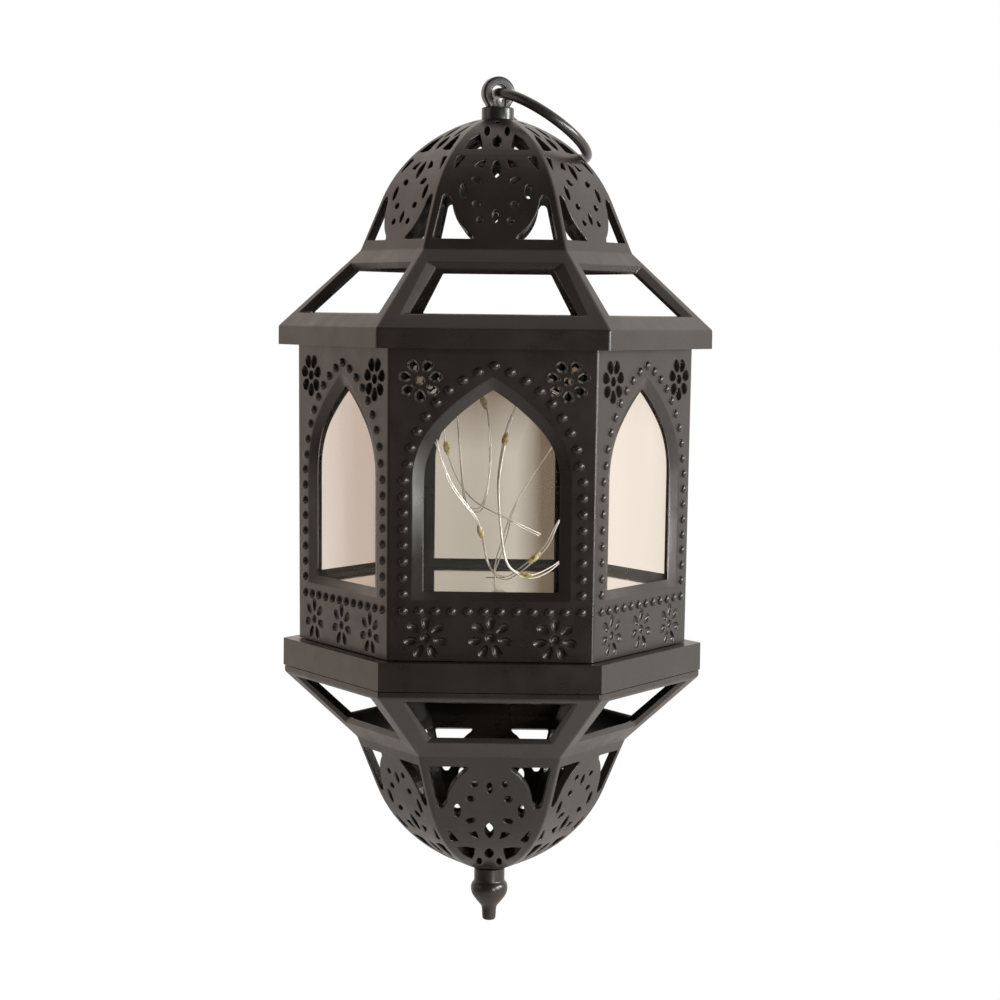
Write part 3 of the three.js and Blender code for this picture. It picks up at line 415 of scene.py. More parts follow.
def to_object(name, bm, material, body, sharp=35):
    """Turn a mesh in millimetres into an object that rides on a body."""
    bmesh.ops.remove_doubles(bm, verts=bm.verts, dist=WELD)
    bmesh.ops.recalc_face_normals(bm, faces=bm.faces)
    bmesh.ops.scale(bm, vec=(MM, MM, MM), verts=bm.verts)
    mesh = bpy.data.meshes.new(name)
    bm.to_mesh(mesh)
    bm.free()
    for polygon in mesh.polygons:
        polygon.use_smooth = True
    mesh.set_sharp_from_angle(angle=radians(sharp))
    mesh.materials.append(material)
    piece = bpy.data.objects.new(name, mesh)
    add_to_scene(piece)
    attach(piece, body)
    return piece


def keep_faces_flat(piece):
    weighted = piece.modifiers.new("weighted normals", "WEIGHTED_NORMAL")
    weighted.keep_sharp = True
    weighted.weight = 90


def round_edges(piece, width, segments):
    bevel = piece.modifiers.new("rounded edges", "BEVEL")
    bevel.width = width * MM
    bevel.segments = segments
    bevel.limit_method = "ANGLE"
    bevel.angle_limit = radians(30)
    bevel.harden_normals = True


def circle(steps):
    """The cosine and sine of angles all round."""
    angles = [tau * i / steps for i in range(steps)]
    return [(cos(angle), sin(angle)) for angle in angles]


def join_rings(bm, rings):
    """Faces between each ring and the next. Corners that fall together count once."""
    for low, high in zip(rings, rings[1:]):
        for i in range(len(low)):
            j = (i + 1) % len(low)
            corners = list(dict.fromkeys((low[i], low[j], high[j], high[i])))
            if len(corners) > 2:
                bm.faces.new(corners)


def sweep_round(bm, profile, steps, closed=False):
    """Sweep (radius, height) points round Z. A point on the axis closes the shape there."""
    rings = []
    for radius, height in profile:
        if radius < 1e-6:
            rings.append([bm.verts.new((0, 0, height))] * steps)
        else:
            rings.append([bm.verts.new((radius * x, radius * y, height)) for x, y in circle(steps)])
    join_rings(bm, rings + rings[:1] if closed else rings)


def catmull_rom(points, share):
    """The point at a share of the way along a uniform Catmull-Rom spline through the points."""
    last = len(points) - 1
    place = min(max(share, 0.0), 1.0) * last
    index = min(int(place), last - 1)
    t = place - index
    here, there = points[index], points[index + 1]
    before = points[index - 1] if index > 0 else 2 * here - there
    after = points[index + 2] if index + 2 <= last else 2 * there - here
    pull, push = (there - before) / 2, (after - here) / 2
    return (here + pull * t + (3 * (there - here) - 2 * pull - push) * t ** 2
            + (2 * (here - there) + pull + push) * t ** 3)


def evenly_spaced(points, count, trials=8000):
    """count + 1 points at equal distances along the spline, and its length."""
    fine = [catmull_rom(points, i / trials) for i in range(trials + 1)]
    reach = [0.0]
    for a, b in zip(fine, fine[1:]):
        reach.append(reach[-1] + (b - a).length)
    spaced, k = [], 0
    for i in range(count + 1):
        goal = reach[-1] * i / count
        while k < trials - 1 and reach[k + 1] < goal:
            k += 1
        span = max(reach[k + 1] - reach[k], 1e-9)
        spaced.append(fine[k].lerp(fine[k + 1], min(1.0, (goal - reach[k]) / span)))
    return spaced, reach[-1]


# Plane outlines, as (across, height) points running counter-clockwise

def counter_clockwise(outline):
    area = sum(a.x * b.y - b.x * a.y for a, b in zip(outline, outline[1:] + outline[:1]))
    return outline if area > 0 else outline[::-1]


def ellipse(x, height, half_width, half_height, tilt=0.0, steps=18):
    centre, turn = Vector((x, height)), Matrix.Rotation(tilt, 2)
    return [centre + turn @ Vector((half_width * c, half_height * s)) for c, s in circle(steps)]


def lemon(x, height, half_width, half_height, steps=8):
    """A pointed oval that stands on one of its points."""
    shares = [-1 + 2 * i / steps for i in range(steps + 1)]
    right = [Vector((half_width * max(0.0, 1 - s * s) ** 0.85, s * half_height)) for s in shares]
    left = [Vector((-point.x, point.y)) for point in right[-2:0:-1]]
    return [point + Vector((x, height)) for point in right + left]


def rounded(points, radius, steps=2):
    """The polygon with its corners rounded."""
    points = counter_clockwise([Vector(point) for point in points])
    outline = []
    for i, corner in enumerate(points):
        to_before, to_after = points[i - 1] - corner, points[(i + 1) % len(points)] - corner
        half = to_before.angle(to_after) / 2
        reach = min(radius / tan(half), 0.45 * to_before.length, 0.45 * to_after.length)
        start = corner + to_before.normalized() * reach
        end = corner + to_after.normalized() * reach
        for k in range(steps + 1):
            share = k / steps
            outline.append(start.lerp(corner, share).lerp(corner.lerp(end, share), share))
    return outline


def mirrored(outline):
    return [Vector((-point.x, point.y)) for point in reversed(outline)]


def grown(outline, by):
    """The counter-clockwise outline moved outwards by a distance, or inwards if it is negative."""
    moved = []
    for i, point in enumerate(outline):
        before = (point - outline[i - 1]).normalized()
        after = (outline[(i + 1) % len(outline)] - point).normalized()
        normal = Vector((before.y + after.y, -before.x - after.x)).normalized()
        lean = max(0.5, normal.dot(Vector((after.y, -after.x))))
        moved.append(point + normal * (by / lean))
    return moved


def inside(point, outline):
    hit = False
    for a, b in zip(outline, outline[1:] + outline[:1]):
        if (a.y > point.y) != (b.y > point.y):
            if point.x < a.x + (b.x - a.x) * (point.y - a.y) / (b.y - a.y):
                hit = not hit
    return hit


def spot_on(outline, point):
    """The nearest place on the outline: edge number, share along it, and distance."""
    best = (0, 0.0, 1e9)
    for i, a in enumerate(outline):
        run = outline[(i + 1) % len(outline)] - a
        share = min(1.0, max(0.0, (point - a).dot(run) / max(run.dot(run), 1e-12)))
        gap = (a + run * share - point).length
        if gap < best[2]:
            best = (i, share, gap)
    return best


def spot_place(outline, edge, share):
    return outline[edge].lerp(outline[(edge + 1) % len(outline)], share)


def triangulate(outlines, rows=()):
    """Triangles between closed outlines and across rows of (left, right) points, as point indices."""
    points, edges = [], []
    for left, right in rows:
        points += [left, right]
        edges.append((len(points) - 2, len(points) - 1))
    for i in range(len(rows) - 1):
        edges += [(2 * i, 2 * i + 2), (2 * i + 1, 2 * i + 3)]
    for outline in outlines:
        start = len(points)
        points += outline
        edges += [(start + i, start + (i + 1) % len(outline)) for i in range(len(outline))]
    points, _, faces, _, _, _ = delaunay_2d_cdt(points, edges, [], 0, 1e-4, False)
    turned = []
    for a, b, c in faces:
        clockwise = (points[b] - points[a]).cross(points[c] - points[a]) < 0
        turned.append((a, c, b) if clockwise else (a, b, c))
    return points, turned


def quarter_round(size):
    """(outward offset, depth) pairs of a rounded edge, from the face down to the wall."""
    angles = [pi / 2 * i / EDGE_STEPS for i in range(EDGE_STEPS + 1)]
    return [(size * (1 - sin(angle)), size * (1 - cos(angle))) for angle in angles]


# Walls with holes and relief

class Feature:
    """A hole or dish: its outline at each of several depths below the outer face."""

    def __init__(self, levels, through):
        self.levels = levels
        self.through = through
        outer = levels[0][0]
        self.low = Vector((min(p.x for p in outer), min(p.y for p in outer)))
        self.high = Vector((max(p.x for p in outer), max(p.y for p in outer)))

    def near(self, point, margin=0.1):
        return (self.low.x - margin < point.x < self.high.x + margin
                and self.low.y - margin < point.y < self.high.y + margin)


def hole(outline):
    """A hole straight through the wall with a small rounded edge."""
    outline = counter_clockwise(outline)
    levels = [(grown(outline, offset), depth) for offset, depth in quarter_round(EDGE)]
    return Feature(levels + [(outline, WALL)], True)


def bevelled_hole(outer, inner, depth, back=0.0):
    """A window whose sides slope in to the inner outline, and open again towards the back."""
    outer, inner = counter_clockwise(outer), counter_clockwise(inner)

    def between(share):
        return [a.lerp(b, share) for a, b in zip(outer, inner)]

    levels = [(grown(outer, 0.22), 0.0), (between(0.02), 0.03 * depth), (between(0.1), 0.1 * depth)]
    levels += [(between(0.93), 0.93 * depth), (inner, depth + 0.18), (grown(inner, back), WALL)]
    return Feature(levels, True)


def relief(outline, profile, through=False):
    """A dish or a funnel, raised where the depths are negative: (share of the outline, depth) pairs."""
    outline = counter_clockwise(outline)
    centre = sum(outline, Vector((0, 0))) / len(outline)
    levels = [([centre.lerp(point, share) for point in outline], depth) for share, depth in profile]
    return Feature(levels, through)


class Shell:
    """A six-sided wall along a profile of (corner radius, height), from its top to its foot."""

    def __init__(self, profile):
        self.points = [Vector((radius * COS30, height)) for radius, height in profile]
        self.runs = [b - a for a, b in zip(self.points, self.points[1:])]
        self.normals = [Vector((-run.y, run.x)).normalized() for run in self.runs]
        self.mitres = [self.normals[0]]
        for before, after in zip(self.normals, self.normals[1:]):
            self.mitres.append((before + after) / (1 + before.dot(after)))
        self.mitres.append(self.normals[-1])

    def at(self, height):
        """The apothem, and the outward step for a unit of thickness, at a height."""
        for point, mitre in zip(self.points, self.mitres):
            if abs(point.y - height) < 1e-4:
                return point.x, mitre
        for i, run in enumerate(self.runs):
            top, foot = self.points[i], self.points[i + 1]
            if foot.y < height < top.y:
                share = (top.y - height) / (top.y - foot.y)
                blended = self.mitres[i].lerp(self.mitres[i + 1], share)
                step = self.normals[i] if run.length > LONG_RUN else blended
                return top.x + share * run.x, step
        end = 0 if height > self.points[0].y else -1
        return self.points[end].x, self.mitres[end]

    def half_width(self, height):
        """Half of the flat part of the outer face, between the rounded corners."""
        return self.at(height)[0] * TAN30 - CORNER

    def place(self, point, depth):
        """The front side's point at a depth below its outer face. The inner corners are sharp."""
        apothem, step = self.at(point.y)
        deep = apothem - step.x * depth
        x = point.x
        if depth > WALL - 1e-6 and abs(abs(x) - self.half_width(point.y)) < 1e-3:
            x = copysign(deep * TAN30, x)
        return Vector((x, -deep, point.y - step.y * depth))

    def rows(self):
        sides = [Vector((self.half_width(point.y), point.y)) for point in self.points]
        return [(Vector((-side.x, side.y)), side) for side in sides]

    def skin(self, features, level):
        """The front side's triangles outside the features, taken at one of their levels."""
        outlines = [feature.levels[level][0] for feature in features]
        points, triangles = triangulate(outlines, self.rows())
        kept = []
        for triangle in triangles:
            centre = sum((points[i] for i in triangle), Vector((0, 0))) / 3
            if abs(centre.x) > self.half_width(centre.y):
                continue
            if not any(f.near(centre) and inside(centre, o) for f, o in zip(features, outlines)):
                kept.append(triangle)
        return points, kept

    def rims(self, points, triangles, features):
        """For each open edge that belongs to a feature: the feature, and its ends on the outline."""
        edges = set()
        for a, b, c in triangles:
            for edge in ((a, b), (b, c), (c, a)):
                if edge[::-1] in edges:
                    edges.remove(edge[::-1])
                else:
                    edges.add(edge)
        rims = []
        for a, b in edges:
            middle = (points[a] + points[b]) / 2
            near = [feature for feature in features if feature.near(middle)]
            gaps = [spot_on(feature.levels[0][0], middle)[2] for feature in near]
            if gaps and min(gaps) < 0.02:
                feature = near[gaps.index(min(gaps))]
                spots = [spot_on(feature.levels[0][0], points[i])[:2] for i in (a, b)]
                rims.append((a, b, feature, spots))
        return rims

    def side(self, features):
        """The front side: outer skin, the walls of its features, and inner skin."""
        bm = bmesh.new()
        points, triangles = self.skin(features, 0)
        made = {}

        def vertex(flat, depth):
            key = (round(flat.x, 3), round(flat.y, 3), round(depth, 3))
            if key not in made:
                made[key] = bm.verts.new(self.place(flat, depth))
            return made[key]

        def face(corners):
            corners = list(dict.fromkeys(corners))
            if len(corners) > 2 and not bm.faces.get(corners):
                bm.faces.new(corners)

        for triangle in triangles:
            face([vertex(points[i], 0) for i in triangle])
        ends = {}
        for a, b, feature, spots in self.rims(points, triangles, features):
            rings = []
            for outline, depth in feature.levels:
                pair = [spot_place(outline, *spot) for spot in spots]
                rings.append([vertex(flat, depth) for flat in pair])
            for (a0, b0), (a1, b1) in zip(rings, rings[1:]):
                face([b0, a0, a1, b1])
            ends[a], ends[b] = pair
        if all(feature.through for feature in features):
            inner = [[ends.get(i, points[i]) for i in triangle] for triangle in triangles]
        else:
            spots, flat_triangles = self.skin([feature for feature in features if feature.through], -1)
            inner = [[spots[i] for i in triangle] for triangle in flat_triangles]
        for triangle in inner:
            face([vertex(flat, WALL) for flat in reversed(triangle)])
        self.corner(face, vertex, bm)
        return bm

    def corner(self, face, vertex, bm):
        """The rounded corner on the right of the side, and the closing strips at top and foot."""
        turn = Matrix.Rotation(pi / 3, 3, "Z")
        strips = []
        for left, right in self.rows():
            start = self.place(right, 0)
            end = turn @ self.place(left, 0)
            tip = Vector((-start.y * TAN30, start.y, start.z))
            strip = [vertex(right, 0)]
            for k in range(1, CORNER_STEPS):
                share = k / CORNER_STEPS
                strip.append(bm.verts.new(start.lerp(tip, share).lerp(tip.lerp(end, share), share)))
            strip.append(bm.verts.new(end))
            strips.append(strip)
        for high, low in zip(strips, strips[1:]):
            for k in range(CORNER_STEPS):
                face([low[k], low[k + 1], high[k + 1], high[k]])
        for row, strip in ((self.rows()[0], strips[0]), (self.rows()[-1], strips[-1])):
            left, right = row
            inner_left, inner_right = vertex(left, WALL), vertex(right, WALL)
            face([vertex(left, 0), vertex(right, 0), inner_right, inner_left])
            for k in range(CORNER_STEPS):
                face([strip[k], strip[k + 1], inner_right])

    def build(self, features):
        """All six sides, joined at the corners."""
        bm = self.side(features)
        front = bm.verts[:] + bm.edges[:] + bm.faces[:]
        for side in range(1, SIDES):
            copy = bmesh.ops.duplicate(bm, geom=front)
            verts = [item for item in copy["geom"] if isinstance(item, bmesh.types.BMVert)]
            turn = Matrix.Rotation(side * pi / 3, 3, "Z")
            bmesh.ops.rotate(bm, cent=(0, 0, 0), matrix=turn, verts=verts)
        bmesh.ops.remove_doubles(bm, verts=bm.verts, dist=SIDE_WELD)
        return bm


def softened(profile, folds):
    """The profile with the corners at these places of it rounded off."""
    outline = []
    for i, point in enumerate(profile):
        corner = Vector(point)
        if i not in folds:
            outline.append(corner)
            continue
        start = corner + (Vector(profile[i - 1]) - corner).normalized() * FOLD
        end = corner + (Vector(profile[i + 1]) - corner).normalized() * FOLD
        for share in (0, 1 / 3, 2 / 3, 1):
            outline.append(start.lerp(corner, share).lerp(corner.lerp(end, share), share))
    return [(point.x, point.y) for point in outline]


def vault_profile():
    """(radius, height over the knee) from the top of the vault down to its straight foot."""
    a, b, c, d = (Vector(point) for point in VAULT_CURVE)
    curve = []
    for i in range(VAULT_STEPS + 1):
        t = 1 - i / VAULT_STEPS
        point = a * (1 - t) ** 3 + b * 3 * t * (1 - t) ** 2 + c * 3 * t ** 2 * (1 - t) + d * t ** 3
        curve.append((point.x, point.y))
    return [(STUD_HOLE_R, curve[0][1] + 0.06)] + curve


def side_gap():
    """The large gap beside the oval medallion, from its edge out to the rib."""
    points = [(21.5, 3.7), (18.3, 18.1), (17.6, 19.0), (16.2, 19.1)]
    for height in (17.4, 15.5, 13.5, 11.5, 9.6, 7.8, 6.2, 5.0):
        share = (height - MEDALLION_MIDDLE) / MEDALLION_HIGH
        points.append((MEDALLION_WIDE * sqrt(1 - share * share), height))
    points.append((7.1, 3.7))
    return rounded(points, 0.6)


def vault_pattern():
    pairs = [
        side_gap(),
        ellipse(5.3, 10.0, 1.2, 1.05),
        ellipse(6.6, 15.6, 1.4, 1.05),
        ellipse(11.2, 20.2, 1.2, 2.5),
        ellipse(6.6, 24.0, 1.8, 1.0, 0.3),
        rounded([(3.6, 31.5), (5.9, 30.5), (7.6, 29.0), (4.6, 28.5)], 0.25),
        rounded([(10.8, 32.4), (12.3, 32.7), (13.6, 32.4), (14.4, 30.1), (14.7, 27.6), (12.8, 29.7)], 0.3),
        rounded([(5.0, 35.6), (5.4, 38.4), (6.1, 41.0), (9.2, 38.8), (11.5, 35.2), (8.3, 35.1)], 0.3),
        ellipse(3.5, 42.2, 0.95, 1.95),
    ]
    middle = [
        lemon(0, 11.5, 1.1, 2.2), lemon(0, 28.1, 1.6, 3.1), lemon(0, 38.0, 1.65, 2.4),
        ellipse(0, 45.7, 0.7, 0.5, steps=12),
    ]
    return pairs + [mirrored(outline) for outline in pairs] + middle


def vault_holes(knee, up):
    """The vault's holes. up is 1 for the dome and -1 for the bowl, knee is the height of its foot."""
    return [hole([Vector((p.x, knee + up * p.y)) for p in outline]) for outline in vault_pattern()]


def slope_window(window, bevel, depth, back=0.0):
    """A bevelled window in a slope. Its four corners are rounded."""
    top, bottom, half_top, half_bottom = window
    top_bevel, foot_bevel, side_bevel = bevel
    outlines = []
    for share, radius in ((0, 0.5), (1, 0.7)):
        low, high = bottom + share * foot_bevel, top - share * top_bevel
        half_low, half_high = half_bottom - share * side_bevel, half_top - share * side_bevel
        corners = [(-half_low, low), (half_low, low), (half_high, high), (-half_high, high)]
        outlines.append(rounded(corners, radius, 4))
    return bevelled_hole(*outlines, depth, back)


def add_band(bm, outer, inner, top, bottom):
    """A flat six-sided band, given by its corner radii and heights."""
    profile = [(outer, top), (outer, bottom), (inner, bottom), (inner, top)]
    sweep_round(bm, profile, SIDES, closed=True)


def add_roof(material):
    vault = [(radius, KNEE_TOP + height) for radius, height in vault_profile()]
    profile = vault + [(KNEE_R, KNEE_TOP), (EAVE_R, EAVE_TOP), (EAVE_R, EAVE_BOTTOM)]
    shell = Shell(softened(profile, (len(vault), len(vault) + 1)))
    window = slope_window(ROOF_WINDOW, ROOF_BEVEL, ROOF_DEPTH)
    bm = shell.build(vault_holes(KNEE_TOP, 1) + [window])
    add_band(bm, *ROOF_BAND)
    roof = to_object("roof_shell", bm, material, "lantern")
    keep_faces_flat(roof)
    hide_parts("roof")


def add_bowl(material):
    vault = [(radius, KNEE_BOTTOM - height) for radius, height in reversed(vault_profile())]
    profile = [(BOWL_RIM_R, BOWL_TOP), (BOWL_RIM_R, BOWL_RIM_BOTTOM), (KNEE_R, KNEE_BOTTOM)] + vault
    shell = Shell(softened(profile, (1, 2)))
    window = slope_window(BOWL_WINDOW, BOWL_BEVEL, BOWL_DEPTH, BOWL_BACK)
    bm = shell.build(vault_holes(KNEE_BOTTOM, -1) + [window])
    add_band(bm, *BOWL_BAND)
    bowl = to_object("bowl_shell", bm, material, "bowl")
    keep_faces_flat(bowl)
    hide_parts("lower_bowl")


def arc(centre, radius, angles):
    return [centre + radius * Vector((cos(angle), sin(angle))) for angle in angles]


def arch_outline(grow, grow_sill):
    """The arched window's outline, grown at the sides and at the sill."""
    centre_1 = Vector((ARCH_HALF - ARCH_R1, ARCH_SPRING))
    along = Vector((cos(ARCH_TURN), sin(ARCH_TURN)))
    centre_2 = centre_1 + along * (ARCH_R1 - ARCH_R2)
    r1, r2 = ARCH_R1 + grow, ARCH_R2 + grow
    apex = acos(-centre_2.x / r2)
    right = [Vector((ARCH_HALF + grow, ARCH_SILL - grow_sill))]
    right += arc(centre_1, r1, [ARCH_TURN * i / 10 for i in range(11)])
    right += arc(centre_2, r2, [ARCH_TURN + (apex - ARCH_TURN) * i / 8 for i in range(1, 8)])
    top = Vector((0, centre_2.y + r2 * sin(apex)))
    return right + [top] + mirrored(right)


def petals(x, z, near, far, half_width, point_up):
    """Egg-shaped petals round a hub, one of them pointing up or down."""
    outlines = []
    first = pi / 2 if point_up else -pi / 2
    for i in range(PETALS):
        turn = Matrix.Rotation(first + tau * i / PETALS, 2)
        egg = []
        for cosine, sine in circle(PETAL_STEPS):
            along = (near + far) / 2 + (far - near) / 2 * cosine
            wide = half_width * sine * (1 + PETAL_BLUNT * cosine)
            egg.append(turn @ Vector((along, wide)) + Vector((x, z)))
        outlines.append(egg)
    return outlines


def wall_ornament():
    """The flowers and beads of one wall."""
    flowers = [(spot, PIERCED_PETAL, PIERCED_HUB, FUNNEL, True) for spot in PIERCED_FLOWERS]
    flowers += [(spot, HOLLOW_PETAL, HOLLOW_HUB, DISH, False) for spot in HOLLOW_FLOWERS]
    features = []
    for (x, z), petal, hub, profile, through in flowers:
        outlines = petals(x, z, *petal, not through) + [ellipse(x, z, hub, hub)]
        features += [relief(outline, profile, through) for outline in outlines]
    spots = BEADS_LOW + [BEAD_TOP]
    for x, z in BEADS_SIDE + BEADS_ARCH:
        spots += [(x, z), (-x, z)]
    angles = [radians(angle) for angle in (15, 30, 45, 60, 75, 90)]
    ball = [(1.06, 0.0), (1.0, -0.06)] + [(cos(a), -BEAD_RISE * sin(a)) for a in angles]
    return features + [relief(ellipse(x + BEADS_SHIFT, z, BEAD_R, BEAD_R, steps=16), ball) for x, z in spots]


def add_walls(material):
    shell = Shell([(BODY_TOP_R, BODY_TOP), (BODY_BOTTOM_R, BODY_BOTTOM)])
    arch = bevelled_hole(arch_outline(ARCH_BEVEL, SILL_BEVEL), arch_outline(0, 0), ARCH_DEPTH, ARCH_BACK)
    bm = shell.build([arch] + wall_ornament())
    walls = to_object("body_walls", bm, material, "lantern")
    keep_faces_flat(walls)
    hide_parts("body_shell")


# Eye, ring and finial

def loop_outline(radius, leave, half_foot, foot, steps=36):
    """An arc over the top, then two legs down to the foot."""
    angles = [-leave + (pi + 2 * leave) * i / steps for i in range(steps + 1)]
    arc = [Vector((radius * cos(angle), radius * sin(angle))) for angle in angles]
    return arc + [Vector((-half_foot, foot)), Vector((half_foot, foot))]


def add_plate_with_hole(bm, outer_levels, inner_levels, half):
    """A plate of twice this half thickness, with (outline, depth) levels down from both faces."""
    points, triangles = triangulate([outer_levels[0][0], inner_levels[0][0]])
    made = {}

    def vertex(flat, y):
        key = (round(flat.x, 4), round(flat.y, 4), round(y, 4))
        if key not in made:
            made[key] = bm.verts.new((flat.x, y, flat.y))
        return made[key]

    for triangle in triangles:
        centre = sum((points[i] for i in triangle), Vector((0, 0))) / 3
        if inside(centre, outer_levels[0][0]) and not inside(centre, inner_levels[0][0]):
            for y in (-half, half):
                bm.faces.new([vertex(points[i], y) for i in triangle])
    for levels in (outer_levels, inner_levels):
        whole = [(outline, depth - half) for outline, depth in levels]
        whole += [(outline, half - depth) for outline, depth in reversed(levels)]
        join_rings(bm, [[vertex(flat, y) for flat in outline] for outline, y in whole])


def add_eye(material):
    bm = bmesh.new()
    outer = loop_outline(EYE_R, EYE_LEAVE, EYE_FOOT, COLLAR_TOP - 0.5)
    inner = loop_outline(EYE_HOLE_R, HOLE_LEAVE, HOLE_FOOT, COLLAR_TOP + 0.2)
    outer_levels = [(grown(outer, -offset), depth) for offset, depth in quarter_round(EYE_ROUNDING)]
    inner_levels = [(grown(inner, offset), depth) for offset, depth in quarter_round(HOLE_ROUNDING)]
    add_plate_with_hole(bm, outer_levels, inner_levels, EYE_THICK / 2)
    bmesh.ops.rotate(bm, cent=(0, 0, 0), matrix=Matrix.Rotation(EYE_TURN, 3, "Z"), verts=bm.verts)
    sweep_round(bm, COLLAR_PROFILE, 40)
    eye = to_object("eye_loop", bm, material, "lantern")
    keep_faces_flat(eye)
    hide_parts("hanging_eye")


def add_ring(material):
    bm = bmesh.new()
    section = [(RING_R + RING_WIRE_R * x, RING_WIRE_R * y) for x, y in circle(RING_SIDES)]
    sweep_round(bm, section, RING_STEPS, closed=True)
    turn = Matrix.Rotation(EYE_TURN, 4, "Z") @ Matrix.Rotation(RING_DROP, 4, "Y")
    bmesh.ops.transform(bm, matrix=turn @ Matrix.Translation((RING_R, 0, 0)), verts=bm.verts)
    ring = to_object("ring_loop", bm, material, "ring", sharp=60)
    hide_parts("hanging_ring")


def add_finial(material):
    bm = bmesh.new()
    points = [Vector(point) for point in FINIAL_CURVE]
    curve = [catmull_rom(points, i / FINIAL_STEPS) for i in range(FINIAL_STEPS + 1)]
    sweep_round(bm, FINIAL_STEM + [(p.x, p.y) for p in curve] + [(0, FINIAL_FOOT)], FINIAL_STEPS)
    finial = to_object("finial_turned", bm, material, "bowl")
    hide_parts("finial")


# The string of lights

def frames_along(centres):
    """Each centre with two directions across the string, carried along without a twist."""
    side = Vector((0, 1, 0))
    frames = []
    for i, centre in enumerate(centres):
        along = (centres[min(i + 1, len(centres) - 1)] - centres[max(i - 1, 0)]).normalized()
        side = (side - along * side.dot(along)).normalized()
        frames.append((centre, side, along.cross(side)))
    return frames


def add_strand(bm, frames, sign):
    """One strand. It winds round the string's middle and drifts away from it and back."""
    rings = []
    for i, (centre, across, over) in enumerate(frames):
        share = i / (len(frames) - 1)
        turn = 9 * pi * share + 0.8 * sin(31 * share)
        spread = 0.42 + 0.26 * sin(43 * share + 1) + 0.1 * sin(97 * share)
        radius = STRAND_R
        if THICK_PART[0] < share < THICK_PART[1]:
            radius, spread = THICK_STRAND_R, THICK_SPREAD
        shift = (across * cos(turn) + over * sin(turn)) * spread * sign
        points = [centre + shift + (across * x + over * y) * radius for x, y in circle(STRAND_SIDES)]
        rings.append([bm.verts.new(point) for point in points])
    join_rings(bm, rings)
    bm.faces.new(rings[0])
    bm.faces.new(rings[-1])


def light_drop(name, place, resin, chip):
    """A drop of clear resin round the wire, with the small chip that glows inside it."""
    drop = bmesh.new()
    half = LAMP_LENGTH / 2
    profile = [(0, -half)]
    for i in range(1, 12):
        share = -1 + 2 * i / 12
        profile.append((LAMP_R * (1 - abs(share) ** 1.8) ** 0.75, share * half))
    sweep_round(drop, profile + [(0, half)], 20)
    bmesh.ops.transform(drop, matrix=place, verts=drop.verts)
    seed = bmesh.new()
    bmesh.ops.create_cube(seed, size=1.0)
    bmesh.ops.scale(seed, vec=CHIP_SIZE, verts=seed.verts)
    bmesh.ops.bevel(seed, geom=seed.edges[:], offset=0.12, segments=2, affect="EDGES")
    bmesh.ops.transform(seed, matrix=place, verts=seed.verts)
    drop = to_object(name, drop, resin, "lantern", sharp=70)
    return drop, to_object(name + "_chip", seed, chip, "lantern")


def add_string(wire, resin, chip):
    route = [Vector(point) for point in LIGHT_ROUTE]
    centres, length = evenly_spaced(route, STRAND_STEPS)
    bm = bmesh.new()
    frames = frames_along(centres)
    for sign in (-1, 1):
        add_strand(bm, frames, sign)
    string = to_object("light_string", bm, wire, "lantern", sharp=70)
    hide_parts("light_wire")
    stations, _ = evenly_spaced(route, WIRE_STEPS)
    drops = []
    for i, step in enumerate(LAMP_STEPS, 1):
        here, there = stations[step], stations[step + 1]
        turn = (there - here).to_track_quat("Z", "Y").to_matrix().to_4x4()
        drop, seed = light_drop(f"light_drop_{i}", Matrix.Translation((here + there) / 2) @ turn, resin, chip)
        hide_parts(f"lamp_{i}")
        drops += [drop, seed]


# Pieces that keep their own shape

def dress(names, material, edge=0.0, segments=2):
    for name in names:
        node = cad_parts[name]
        for slot in node.material_slots:
            slot.material = material
        if edge:
            round_edges(node, edge, segments)


def dress_nodes(black):
    dress(["base_tray"], black, 0.4, 3)
    dress(["mirror_floor"], look_of("mirror film"))
    dress(["window_pane_1", "window_pane_2", "window_pane_6"], look_of("clear film"))
    for number, film in FILMS.items():
        dress([f"window_pane_{number}"], film_with_painted_shade(*film))
    steel = look_of("zinc steel")
    dress(["battery_box", "battery_cover"], look_of("grey plastic"), 0.25)
    dress(["slide_switch"], steel, 0.15)
    dress(["switch_knob"], look_of("switch plastic"), 0.15)
    dress(["circuit_board"], look_of("circuit green"), 0.1)
    dress([f"battery_{i}" for i in (1, 2, 3)], look_of("cell jacket"), 0.2)
    dress([f"contact_{i}" for i in (1, 2, 3, 4)], steel)
    dress([f"box_screw_{i}" for i in (1, 2, 3, 4)] + ["finial_screw", "eye_nut"], steel, 0.15)
    dress(["eye_washer"], steel, 0.1)


# Light and surroundings

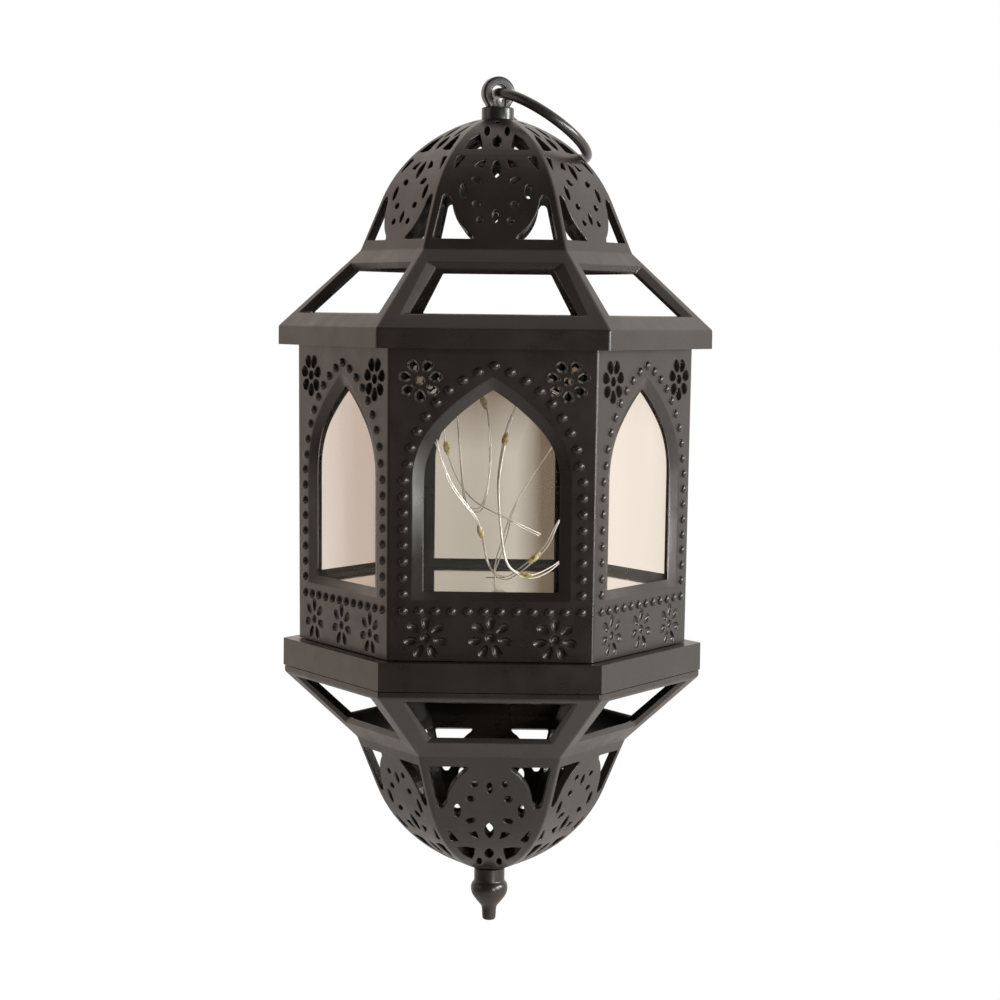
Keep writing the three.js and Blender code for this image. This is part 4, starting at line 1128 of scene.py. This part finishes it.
def add_floor():
    """Pale paper that fades to the white of the background for the camera."""
    place = (0, 0, FLOOR_HEIGHT)
    bpy.ops.mesh.primitive_circle_add(vertices=96, radius=FLOOR_R, fill_type="NGON", location=place)
    floor = bpy.context.object
    floor.name = "floor"
    look = Look("floor paper", Roughness=0.8, Specular_IOR_Level=0.2)
    look.feed("Base Color", look.blend(look.noise(6, 2), [(0.72, 0.71, 0.69), (0.77, 0.76, 0.74)]))
    distance = look.combine("LENGTH", look.place, kind="ShaderNodeVectorMath")
    fade = look.spread(distance, 0.0, 1.0, *FLOOR_FADE)
    mix = look.node("ShaderNodeMixShader")
    look.link(look.combine("MULTIPLY", fade, look.seen_by_camera()), mix.inputs["Fac"])
    look.link(look.shader.outputs[0], mix.inputs[1])
    look.link(look.node("ShaderNodeEmission").outputs[0], mix.inputs[2])
    look.link(mix.outputs[0], look.nodes["Material Output"].inputs["Surface"])
    floor.data.materials.append(look.material)


def add_world():
    """White to the camera. The object sees a bright back and right, and a dim room in front."""
    world = bpy.data.worlds.new("studio")
    bpy.context.scene.world = world
    world.use_nodes = True
    sky = Tree(world.node_tree)
    seen = sky.seen_by_camera()
    direction = sky.node("ShaderNodeTexCoord").outputs["Generated"]
    toward = sky.combine("DOT_PRODUCT", direction, kind="ShaderNodeVectorMath")
    toward.node.inputs[1].default_value = ROOM_BRIGHT
    room = sky.spread(toward, *ROOM_STRENGTH, -0.7, 0.35)
    room.node.interpolation_type = "SMOOTHSTEP"
    side = sky.spread(sky.split(direction)["X"], 0.0, 0.9, -0.8, 0.3)
    whiter = sky.combine("MAXIMUM", side, seen)
    tint = sky.blend(whiter, ROOM_COLORS, 0.0, 1.0)
    tint.node.color_ramp.elements[1].position = 0.9
    background = sky.nodes["Background"]
    sky.link(tint, background.inputs["Color"])
    sky.link(sky.combine("MAXIMUM", room, seen), background.inputs["Strength"])


def add_lamp(name, azimuth, elevation, distance, size, power):
    """A square lamp that looks at the lantern's middle."""
    data = bpy.data.lights.new(name, "AREA")
    data.size = size
    data.energy = power
    lamp = bpy.data.objects.new(name, data)
    a, e = radians(azimuth), radians(elevation)
    away = Vector((sin(a) * cos(e), -cos(a) * cos(e), sin(e)))
    lamp.location = Vector((0, 0, LAMPS_AIM)) + away * distance
    lamp.rotation_euler = away.to_track_quat("Z", "Y").to_euler()
    add_to_scene(lamp)


# Build the scene

add_camera()
wire_look = look_of("silvery wire")
add_string(wire_look, look_of("lamp resin"), look_of("lamp chip"))
dress(["lamp_lead"], wire_look)
black_look = look_of("black plastic")
enamel_look = look_of("black enamel")
add_roof(black_look)
add_walls(black_look)
add_bowl(black_look)
add_finial(black_look)
add_eye(enamel_look)
add_ring(enamel_look)
dress_nodes(black_look)
add_floor()
add_world()
for square_lamp in SQUARE_LAMPS:
    add_lamp(*square_lamp)
bpy.context.scene.view_settings.view_transform = "Standard"
